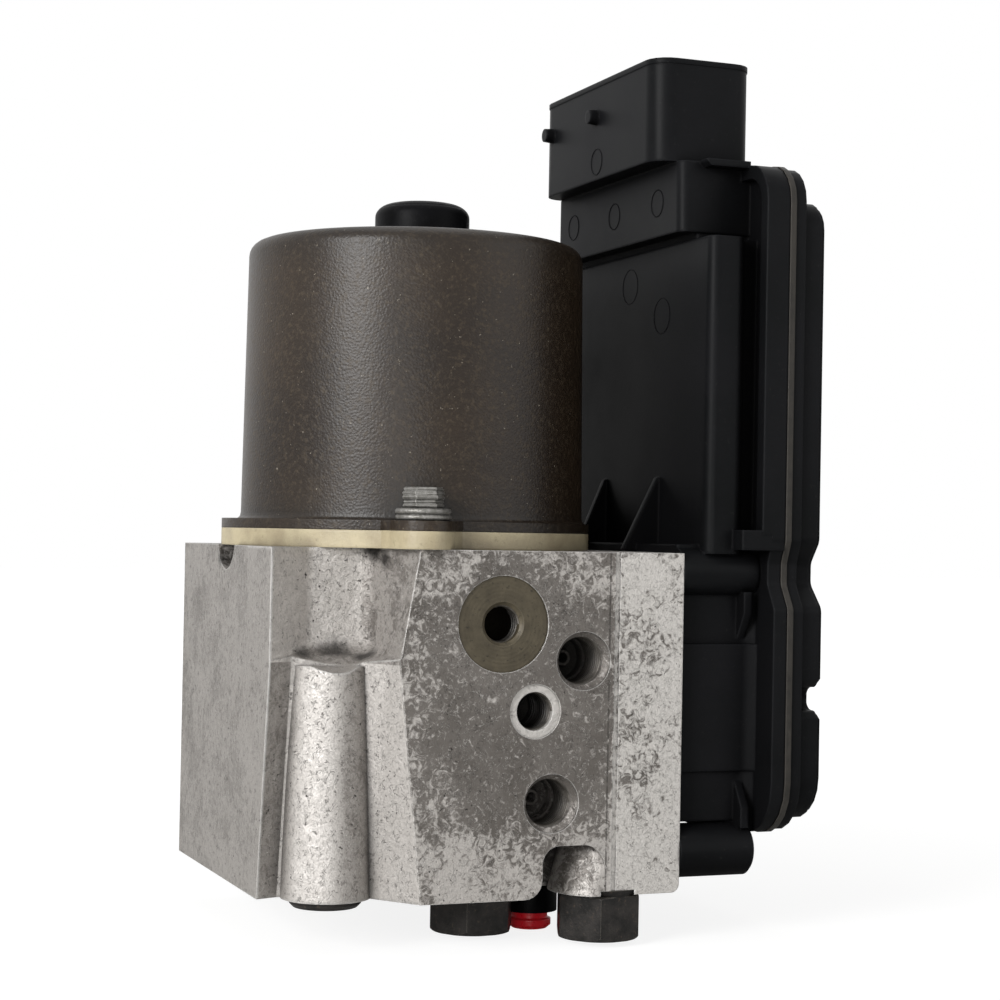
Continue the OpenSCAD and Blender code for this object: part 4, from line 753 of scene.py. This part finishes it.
# %% Ease the corners beside the ears
def ease_ears(shape, low, high):
    """Round the inner corners where the two ears leave the round foot, between two heights."""
    def on_outline(vert):
        hole = min(math.hypot(vert.co.x - p.x, vert.co.y - p.y) for p in bolt_axes)
        return low < vert.co.z < high and round_axis(vert.co)[1] > rim - rim_band and hole > hole_clear

    # the level edges of the outline beside an ear are cut into five, so that they can bend
    walls = [e for e in shape.edges if on_outline(e.verts[0]) and on_outline(e.verts[1])
             and near_ear(round_axis(e.verts[0].co)[0])
             and abs(e.verts[0].co.z - e.verts[1].co.z) < 0.01 * MM]
    bmesh.ops.subdivide_edges(shape, edges=walls, cuts=4)
    outline = {v: round_axis(v.co) for v in shape.verts if on_outline(v)}
    known = sorted({(round(turn, 5), radius) for turn, radius in outline.values()})

    def radius_at(turn):
        turn = (turn + math.pi) % math.tau - math.pi
        for (before, inner), (after, outer) in zip(known, known[1:]):
            if before <= turn <= after:
                return inner + (outer - inner) * (turn - before) / max(after - before, 1e-9)
        return rim

    # a bell of 17 neighbours, 0.012 radians apart, which is about half a millimetre at the rim
    step, reach, width = 0.012, 8, 3.2
    bell = [(k * step, math.exp(-(k / width) ** 2)) for k in range(-reach, reach + 1)]
    total = sum(weight for _, weight in bell)
    moved = 0
    for vert, (turn, _) in outline.items():
        if near_ear(turn):
            radius = sum(weight * radius_at(turn + off) for off, weight in bell) / total
            vert.co.x = motor_axis.x + radius * math.cos(turn)
            vert.co.y = motor_axis.y + radius * math.sin(turn)
            moved += 1
    print("eased", moved, "corners of the ears from", len(walls), "edges")


# %% [markdown]
# ## Castings and mouldings without facets
#
# The scooped corner of the block and the rounded corners of the controller are made of small flat
# facets in the solid model. A copy of such a part, with its loose triangles merged, can shade
# neighbouring facets as one curve: edges sharper than 32 degrees stay crisp, and the Weighted
# Normal modifier lets the large flat faces decide the shading at their rims, so they stay flat.
# The copy then stands for the solid, which stays behind for collisions.

# %% A smooth copy of a solid part
def frozen(obj):
    """The object's evaluated mesh, with its modifiers in it."""
    graph = bpy.context.evaluated_depsgraph_get()
    return bpy.data.meshes.new_from_object(obj.evaluated_get(graph), depsgraph=graph)


def shade_soft(mesh, crisp):
    """Shade a mesh smooth, but keep edges crisp that are sharper than an angle in degrees."""
    mesh.polygons.foreach_set("use_smooth", [True] * len(mesh.polygons))
    mesh.set_sharp_from_angle(angle=math.radians(crisp))


def smoothed(name, ears=None, body="unit"):
    """A copy of a solid part that shades its facets as curves, standing for that part."""
    mesh = solids[name].data.copy()
    if "custom_normal" in mesh.attributes:
        mesh.attributes.remove(mesh.attributes["custom_normal"])
    merge = bmesh.new()
    merge.from_mesh(mesh)
    bmesh.ops.remove_doubles(merge, verts=merge.verts, dist=0.002 * MM)
    if ears:
        ease_ears(merge, *ears)
    merge.to_mesh(mesh)
    merge.free()
    shade_soft(mesh, crisp=32)
    copy = bpy.data.objects.new(name + "_skin", mesh)
    bpy.context.collection.objects.link(copy)
    even = copy.modifiers.new("even", "WEIGHTED_NORMAL")
    even.keep_sharp = True
    finished = frozen(copy)
    copy.modifiers.clear()
    copy.data = finished
    slot_name = next(p["material_slot"] for p in frame["record"]["subparts"] if p["node"] == name)
    finished.materials.clear()
    finished.materials.append(finish[slot_name])
    if body:
        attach(copy, body)
    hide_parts(name)
    print(copy.name, len(finished.polygons), "faces")
    return copy


# %% Smooth copies of the faceted parts
for part in ("hydraulic_block", "controller_housing", "controller_cover", "cover_gasket"):
    smoothed(part)
washer_low, washer_high = (v.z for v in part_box("motor_washers"))
for part in ("motor_end_plate", "motor_can"):
    smoothed(part, ears=(plate_low.z - 0.1 * MM, washer_low + 0.1 * MM))

# %% [markdown]
# ## Smooth copies of the springs
#
# Each accumulator spring gets a smooth copy that rides with the unit and has a mesh of its own.
# Each pump spring gets a smooth copy that is not attached to a body, with its place baked into
# its mesh.

# %% Accumulator springs and pump springs
for side in ("front", "rear"):
    low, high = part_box(side + "_accumulator_spring")
    coil = smoothed(side + "_accumulator_spring")
    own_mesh(coil)
    low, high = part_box(side + "_pump_spring")
    coil = smoothed(side + "_pump_spring", body=None)
    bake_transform(coil)

# %% [markdown]
# ## Growing pieces with Geometry Nodes
#
# Threads, ridges and tool marks repeat one small form at many places. Geometry Nodes suit that: a
# mesh of bare points says where, and a node tree grows the form on each. Before a piece is used,
# the grown result is frozen into a plain mesh and the modifier is thrown away, because other
# programs read only plain meshes.

# %% The start and the end that all the trees share
def new_tree(name, sizes):
    """An empty tree with a geometry in and out, and a named input for each size and its default."""
    tree = bpy.data.node_groups.new(name, "GeometryNodeTree")
    tree.interface.new_socket("Geometry", in_out="INPUT", socket_type="NodeSocketGeometry")
    for size, value in sizes.items():
        kind = "NodeSocketInt" if isinstance(value, int) else "NodeSocketFloat"
        tree.interface.new_socket(size, in_out="INPUT", socket_type=kind).default_value = value
    tree.interface.new_socket("Geometry", in_out="OUTPUT", socket_type="NodeSocketGeometry")
    return tree, node(tree, "NodeGroupInput").outputs


def end_tree(tree, points, form, material, soft=True):
    """Put the form on every point, turned the way it faces, and end the tree as a real mesh."""
    facing = node(tree, "GeometryNodeInputNamedAttribute", {"Name": "facing"}, data_type="FLOAT_VECTOR")
    aim = node(tree, "FunctionNodeAlignRotationToVector", {"Vector": facing.outputs[0]}, axis="Z")
    many = node(tree, "GeometryNodeInstanceOnPoints", {
        "Points": points, "Instance": form, "Rotation": aim.outputs[0]})
    real = node(tree, "GeometryNodeRealizeInstances", {"Geometry": many.outputs[0]})
    if soft:
        real = node(tree, "GeometryNodeSetShadeSmooth", {0: real.outputs[0]})
    dressed = node(tree, "GeometryNodeSetMaterial", {"Geometry": real.outputs[0], "Material": material})
    node(tree, "NodeGroupOutput", {0: dressed.outputs[0]})


# %% Grow a tree on points and freeze it
def grow(name, tree, points, facing, sizes, body):
    """Grow the tree on points, each facing its own way, and freeze the result as a piece."""
    seed = bpy.data.meshes.new(name + "_points")
    seed.from_pydata([tuple(p) for p in points], [], [])
    ways = seed.attributes.new("facing", "FLOAT_VECTOR", "POINT")
    for spot, way in zip(ways.data, facing):
        spot.vector = way
    holder = bpy.data.objects.new(name + "_holder", seed)
    bpy.context.collection.objects.link(holder)
    grown = holder.modifiers.new("grow", "NODES")
    grown.node_group = tree
    for item in tree.interface.items_tree:
        if item.in_out == "INPUT" and item.name in sizes:
            grown[item.identifier] = sizes[item.name]
    mesh = frozen(holder)
    mesh.name = name
    bpy.data.objects.remove(holder)
    piece = bpy.data.objects.new(name, mesh)
    bpy.context.collection.objects.link(piece)
    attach(piece, body)
    print(name, len(mesh.polygons), "faces on", len(points), "points")
    return piece


# %% [markdown]
# ## Screw threads
#
# The ports, the bracket hole and the pump plugs are tapped: a cutter has left one continuous
# ridge that winds down the wall. A spiral curve with a small diamond section swept along it is
# just that ridge, since half of the diamond lies in the wall. The tree takes the bore's radius,
# the pitch and the length from the real threads: 1 mm pitch for the brake pipes, and 1.25 mm for
# the bracket and the round plugs.

# %% The thread tree
def thread_tree():
    tree, size = new_tree("thread_ridge", {"Radius": 0.005, "Pitch": 0.001, "Length": 0.01})
    turns = node(tree, "ShaderNodeMath", {0: size["Length"], 1: size["Pitch"]}, operation="DIVIDE")
    wind = node(tree, "GeometryNodeCurveSpiral", {
        "Resolution": 40, "Rotations": turns.outputs[0], "Start Radius": size["Radius"],
        "End Radius": size["Radius"], "Height": size["Length"]})
    half = node(tree, "ShaderNodeMath", {0: size["Pitch"], 1: 0.42}, operation="MULTIPLY")
    section = node(tree, "GeometryNodeCurvePrimitiveCircle", {"Resolution": 4, "Radius": half.outputs[0]})
    ridge = node(tree, "GeometryNodeCurveToMesh", {
        "Curve": wind.outputs[0], "Profile Curve": section.outputs[0], "Fill Caps": True})
    end_tree(tree, size["Geometry"], ridge.outputs[0], finish["thread_metal"])
    return tree


# the cut threads get painted shade in their corners
finish["thread_metal"] = mottled(
    "cut_thread_aluminium", "#4a4640", "#76716a", "#1d1a17", "#b9b4ab", 2, 0.4, 0.02, 0.4, 0.4, painted_shade=1.0)
threads = thread_tree()
tapped = [m for m in frame["record"]["mounts"] if m["kind"] == "threaded_hole"]
print("tapped holes:", len(tapped))

# %% Threads in every tapped hole
run_in = 0.7  # mm of plain wall before the first turn and after the last
bite = 0.12  # mm by which the middle of the ridge lies inside the wall
for label, pitch, some in (
        ("port_threads", 1.0, [m for m in tapped if m["name"].endswith("_port")]),
        ("bracket_thread_ridge", 1.25, [m for m in tapped if m["name"] == "bracket_thread"]),
        ("plug_thread_ridges", 1.25, [m for m in tapped if m["name"].endswith("_plug_thread")])):
    hole = some[0]["dims"]
    inward = [-Vector(m["axis"]) for m in some]
    starts = [Vector(m["pos_m"]) + way * run_in * MM for m, way in zip(some, inward)]
    grow(label, threads, starts, inward, {
        "Radius": (hole["r_mm"] + bite) * MM, "Pitch": pitch * MM,
        "Length": (hole["length_mm"] - 2 * run_in) * MM}, "unit")

# %% [markdown]
# ## Marks of the moulding tool
#
# When the mould opens, round pins push the housing out, and each leaves a fine ring on the wall.
# Six of them show on the side that faces the motor: three on the neck, one on the connector and
# two fainter ones on the step below. A ring is a circle curve with a thin round section swept
# along it, laid flat on the wall, so that half of its section stands out.

# %% The ring tree
def ring_tree():
    tree, size = new_tree("ejector_ring", {"Radius": 0.003, "Line": 0.0001})
    path = node(tree, "GeometryNodeCurvePrimitiveCircle", {"Resolution": 48, "Radius": size["Radius"]})
    section = node(tree, "GeometryNodeCurvePrimitiveCircle", {"Resolution": 8, "Radius": size["Line"]})
    ring = node(tree, "GeometryNodeCurveToMesh", {
        "Curve": path.outputs[0], "Profile Curve": section.outputs[0]})
    end_tree(tree, size["Geometry"], ring.outputs[0], finish["black_plastic"])
    return tree


rings = ring_tree()
to_motor = Vector((-1, 0, 0))
neck_wall, tier_wall, connector_wall = 96.7, 100.8, 91.0

# %% Ejector rings on the housing
on_neck = [place(neck_wall, back, up) for back, up in ((71.4, 83.8), (46.1, 83.4), (21.5, 83.4))]
on_neck.append(place(connector_wall, 44.8, 96.5))
grow("ejector_rings", rings, on_neck, [to_motor] * len(on_neck), {
    "Radius": 3.2 * MM, "Line": 0.14 * MM}, "unit")
on_tier = [place(tier_wall, 26.4, 57.1), place(tier_wall, 44.7, 65.9)]
grow("faint_rings", rings, on_tier, [to_motor] * len(on_tier), {
    "Radius": 4.3 * MM, "Line": 0.09 * MM}, "unit")

# %% [markdown]
# ## Forged bolt heads
#
# The heads of the motor's bolts were forged and have seen many spanners, so their six sides are a
# stack of rough horizontal ridges. Each ridge is a low six-sided barrel, two cones set foot to
# foot, and a line of points up the head carries one barrel each. A seeded random turn and size
# keep the stack from looking machined. The shank goes down through the foot of the can.

# %% The bolt tree
def ridge_barrel(tree, radius, step):
    """One ridge of the head: two low six-sided cones, foot to foot, each half a step high."""
    half = node(tree, "ShaderNodeMath", {0: step, 1: 0.5}, operation="MULTIPLY").outputs[0]
    thin = node(tree, "ShaderNodeMath", {0: radius, 1: 0.95}, operation="MULTIPLY").outputs[0]
    raise_by = node(tree, "ShaderNodeCombineXYZ", {"Z": half}).outputs[0]
    barrel = node(tree, "GeometryNodeJoinGeometry")
    for top, bottom, lift in ((thin, radius, raise_by), (radius, thin, (0, 0, 0))):
        cone = node(tree, "GeometryNodeMeshCone", {
            "Vertices": 6, "Radius Top": top, "Radius Bottom": bottom, "Depth": half})
        moved = node(tree, "GeometryNodeTransform", {"Geometry": cone.outputs[0], "Translation": lift})
        tree.links.new(moved.outputs[0], barrel.inputs[0])
    return barrel.outputs[0]


def bolt_tree():
    tree, size = new_tree("forged_bolt", {
        "Radius": 0.005, "Height": 0.005, "Ridges": 6, "Shank": 0.003, "Reach": 0.01})
    step = node(tree, "ShaderNodeMath", {
        0: size["Height"], 1: size["Ridges"]}, operation="DIVIDE").outputs[0]
    gap = node(tree, "ShaderNodeCombineXYZ", {"Z": step})
    column = node(tree, "GeometryNodeMeshLine", {"Count": size["Ridges"], "Offset": gap.outputs[0]})
    turn = node(tree, "FunctionNodeRandomValue", {2: -0.24, 3: -0.13, "Seed": 4}, data_type="FLOAT")
    spin = node(tree, "ShaderNodeCombineXYZ", {"Z": turn.outputs[1]})
    swell = node(tree, "FunctionNodeRandomValue", {2: 0.94, 3: 1.02, "Seed": 9}, data_type="FLOAT")
    stack = node(tree, "GeometryNodeInstanceOnPoints", {
        "Points": column.outputs[0], "Instance": ridge_barrel(tree, size["Radius"], step),
        "Rotation": spin.outputs[0], "Scale": swell.outputs[1]})
    shank = node(tree, "GeometryNodeMeshCylinder", {
        "Vertices": 32, "Radius": size["Shank"], "Depth": size["Reach"]})
    sink = node(tree, "ShaderNodeMath", {0: size["Reach"], 1: -0.5}, operation="MULTIPLY")
    sunk = node(tree, "ShaderNodeCombineXYZ", {"Z": sink.outputs[0]})
    lower = node(tree, "GeometryNodeTransform", {
        "Geometry": shank.outputs[0], "Translation": sunk.outputs[0]})
    bolt = node(tree, "GeometryNodeJoinGeometry")
    tree.links.new(stack.outputs[0], bolt.inputs[0])
    tree.links.new(lower.outputs[0], bolt.inputs[0])
    end_tree(tree, size["Geometry"], bolt.outputs[0], finish["zinc_steel"], soft=False)
    return tree


# %% Motor bolts
tip, head_top = (v.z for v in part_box("motor_bolts"))
seat = head_top - 4.8 * MM
bolts = grow("forged_bolts", bolt_tree(), [Vector((p.x, p.y, seat)) for p in bolt_axes], [(0, 0, 1)] * 2, {
    "Radius": 4.75 * MM, "Height": 4.6 * MM, "Ridges": 5, "Shank": 3.0 * MM, "Reach": seat - tip},
    "unit")
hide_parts("motor_bolts")

# %% [markdown]
# ## Washers with a rolled rim
#
# A stamped washer has a rim rounded by the punch and by tumbling. A rounded rectangle swept round
# a circle makes it. Under each bolt head lie two of them.

# %% Washers
def washer_tree():
    tree, size = new_tree("rolled_washer", {"Middle": 0.0045, "Width": 0.003, "Thick": 0.0013})
    path = node(tree, "GeometryNodeCurvePrimitiveCircle", {"Resolution": 64, "Radius": size["Middle"]})
    flat = node(tree, "GeometryNodeCurvePrimitiveQuadrilateral", {
        "Width": size["Width"], "Height": size["Thick"]})
    corner = node(tree, "ShaderNodeMath", {0: size["Thick"], 1: 0.47}, operation="MULTIPLY")
    section = node(tree, "GeometryNodeFilletCurve", {
        "Curve": flat.outputs[0], "Radius": corner.outputs[0], "Count": 4}, mode="POLY")
    ring = node(tree, "GeometryNodeCurveToMesh", {
        "Curve": path.outputs[0], "Profile Curve": section.outputs[0]})
    end_tree(tree, size["Geometry"], ring.outputs[0], finish["zinc_steel"])
    return tree


quarter = (washer_high - washer_low) / 4
levels = (washer_low + quarter, washer_high - quarter)
rests = [Vector((p.x, p.y, z)) for p in bolt_axes for z in levels]
washers = grow("rolled_washers", washer_tree(), rests, [(0, 0, 1)] * len(rests), {
    "Middle": 4.7 * MM, "Width": 3.1 * MM, "Thick": 1.34 * MM}, "unit")
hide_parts("motor_washers")

# %% [markdown]
# ## The motor's rubber cap
#
# The top bearing of the motor is covered by a pressed-on rubber cap with very round shoulders. A
# lathe makes it: a profile of radius and height is spun round the motor's axis. The cap is hollow,
# since the bearing cup of the can stands inside it. A small moulded lip and a gate mark sit low on
# its front.

# %% A lathe
def turned(name, profile, spot, axis, body, slot, sides=96):
    """Spin a profile of radius and height, in mm, round an axis through spot."""
    mesh = bpy.data.meshes.new(name)
    lathe = bmesh.new()
    corners = [lathe.verts.new((r * MM, 0, h * MM)) for r, h in profile]
    line = [lathe.edges.new(pair) for pair in zip(corners, corners[1:])]
    bmesh.ops.spin(lathe, geom=corners + line, cent=(0, 0, 0), axis=(0, 0, 1), angle=math.tau, steps=sides)
    bmesh.ops.remove_doubles(lathe, verts=lathe.verts, dist=0.001 * MM)
    bmesh.ops.recalc_face_normals(lathe, faces=lathe.faces)
    upright = Vector(axis).to_track_quat("Z", "Y").to_matrix().to_4x4()
    bmesh.ops.transform(lathe, verts=lathe.verts, matrix=Matrix.Translation(spot) @ upright)
    lathe.to_mesh(mesh)
    lathe.free()
    shade_soft(mesh, crisp=40)
    piece = bpy.data.objects.new(name, mesh)
    bpy.context.collection.objects.link(piece)
    mesh.materials.append(finish[slot])
    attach(piece, body)
    print(name, len(mesh.polygons), "faces")
    return piece


# %% The cap
cap_low, cap_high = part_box("motor_cap")
cap_foot = Vector(((cap_low.x + cap_high.x) / 2, (cap_low.y + cap_high.y) / 2, cap_low.z))
cap_r = (cap_high.x - cap_low.x) / 2 / MM + 0.45  # the rubber skin stands a little outside the solid
cap_h = (cap_high.z - cap_low.z) / MM + 0.8
wall, roof = 1.0, 1.6
bow, drop, crown = 4.6, 3.6, 3.3  # the shoulder's width, where it leaves the wall, and its rise
shoulder = []
for n in range(13):
    bend = math.radians(90 * n / 12)
    shoulder.append((cap_r - bow + bow * math.sin(bend), cap_h - drop + crown * math.cos(bend)))
outside = [(0, cap_h), (cap_r * 0.3, cap_h - 0.05)] + shoulder + [(cap_r, 0)]
inside = [(cap_r - wall, 0), (cap_r - wall, cap_h - roof), (0, cap_h - roof)]
cap = turned("rubber_cap", outside + inside, cap_foot, (0, 0, 1), "unit", "black_rubber")
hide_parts("motor_cap")

# %% Its lip and gate mark
lip = [(0, 0.55), (0.9, 0.48), (1.4, 0.28), (1.62, -0.2), (1.62, -0.8), (0, -0.8)]
at_front = Vector((0.4, 0.1 - cap_r, 0.5)) * MM
turned("cap_lip", lip, cap_foot + at_front, (0, -1, 0), "unit", "black_rubber", 32)
gate = [(0, 0.4), (0.35, 0.3), (0.5, 0.0), (0.5, -0.4), (0, -0.4)]
on_wall = Vector((-0.352, -0.936, 0)) * (cap_r - 0.15) * MM + Vector((0, 0, 1.3 * MM))
turned("cap_gate", gate, cap_foot + on_wall, (-0.35, -0.94, 0), "unit", "black_rubber", 16)

# %% [markdown]
# ## The studio
#
# A plain pale floor, a white surround and four soft lamps. The surround is white only for rays
# that come from the camera, a reflection or a clear material. For ordinary light it is a modest
# grey, so the white background doesn't wash out the dark plastic. The lamps add up to about the
# level at which a colour renders as it was written.

# %% Surround
world = bpy.data.worlds.new("white_surround")
bpy.context.scene.world = world
world.use_nodes = True
sky = world.node_tree
sky.nodes.clear()
ray = node(sky, "ShaderNodeLightPath").outputs
direct = node(sky, "ShaderNodeMath", {0: ray["Is Camera Ray"], 1: ray["Is Glossy Ray"]}, operation="MAXIMUM")
direct = node(sky, "ShaderNodeMath", {
    0: direct.outputs[0], 1: ray["Is Transmission Ray"]}, operation="MAXIMUM")
soft = node(sky, "ShaderNodeBackground", {"Color": colour("#ffffff"), "Strength": 0.28})
white = node(sky, "ShaderNodeBackground", {"Color": colour("#ffffff"), "Strength": 1.0})
both = node(sky, "ShaderNodeMixShader", {0: direct.outputs[0], 1: soft.outputs[0], 2: white.outputs[0]})
node(sky, "ShaderNodeOutputWorld", {"Surface": both.outputs[0]})
print("surround:", world.name)

# %% [markdown]
# The floor glows towards the camera, a little less close to the object than far from it, so it
# reads as white paper with a soft shade on it. Other rays meet a plain pale grey instead, which
# sends light back up into the underside.

# %% Floor
middle = (solid_low + solid_high) / 2
floor_mesh = bpy.data.meshes.new("floor")
wide = 4.0
floor_corners = [(-wide, -wide, 0), (wide, -wide, 0), (wide, wide, 0), (-wide, wide, 0)]
floor_mesh.from_pydata(floor_corners, [], [(0, 1, 2, 3)])
floor_mesh.transform(Matrix.Translation((0, 0, solid_low.z)))
floor = bpy.data.objects.new("floor", floor_mesh)
bpy.context.collection.objects.link(floor)
paper = bpy.data.materials.new("pale_paper")
paper.use_nodes = True
sheet = paper.node_tree
sheet.nodes.clear()
ray = node(sheet, "ShaderNodeLightPath").outputs
where = node(sheet, "ShaderNodeTexCoord").outputs["Object"]
under = (middle.x, middle.y, solid_low.z)
away = node(sheet, "ShaderNodeVectorMath", {0: where, 1: under}, operation="DISTANCE").outputs["Value"]
level = node(sheet, "ShaderNodeMapRange", {
    "Value": away, "From Min": 0.12, "From Max": 0.5, "To Min": 0.86, "To Max": 1.0}).outputs["Result"]
glow = node(sheet, "ShaderNodeEmission", {"Color": colour("#ffffff"), "Strength": level})
quiet = node(sheet, "ShaderNodeBsdfDiffuse", {"Color": colour("#8f8f8e")})
seen = node(sheet, "ShaderNodeAddShader", {0: quiet.outputs[0], 1: glow.outputs[0]})
lit = node(sheet, "ShaderNodeBsdfDiffuse", {"Color": colour("#e4e4e2")})
choice = node(sheet, "ShaderNodeMixShader", {0: ray["Is Camera Ray"], 1: lit.outputs[0], 2: seen.outputs[0]})
node(sheet, "ShaderNodeOutputMaterial", {"Surface": choice.outputs[0]})
floor_mesh.materials.append(paper)
print("floor at", round(solid_low.z / MM, 1), "mm")


# %% Lamps
def lamp(name, spot, aim, size, watts):
    """A square soft box at spot, pointed at aim."""
    data = bpy.data.lights.new(name, "AREA")
    data.size = size
    data.energy = watts
    obj = bpy.data.objects.new(name, data)
    obj.location = spot
    obj.rotation_euler = (Vector(aim) - Vector(spot)).to_track_quat("-Z", "Y").to_euler()
    bpy.context.collection.objects.link(obj)


lamp("key_left", (-0.91, -0.50, 0.38), middle, 0.45, 10.5)
lamp("low_front", (-0.45, -0.95, -0.03), middle - Vector((0, 0, 0.05)), 0.25, 2.2)
lamp("fill_right", (0.75, -0.85, 0.25), middle, 0.8, 1.5)
lamp("top", (0.0, 0.1, 1.1), middle, 0.7, 1.3)
bpy.context.scene.view_settings.view_transform = "Standard"
print("lamps:", len(bpy.data.lights))
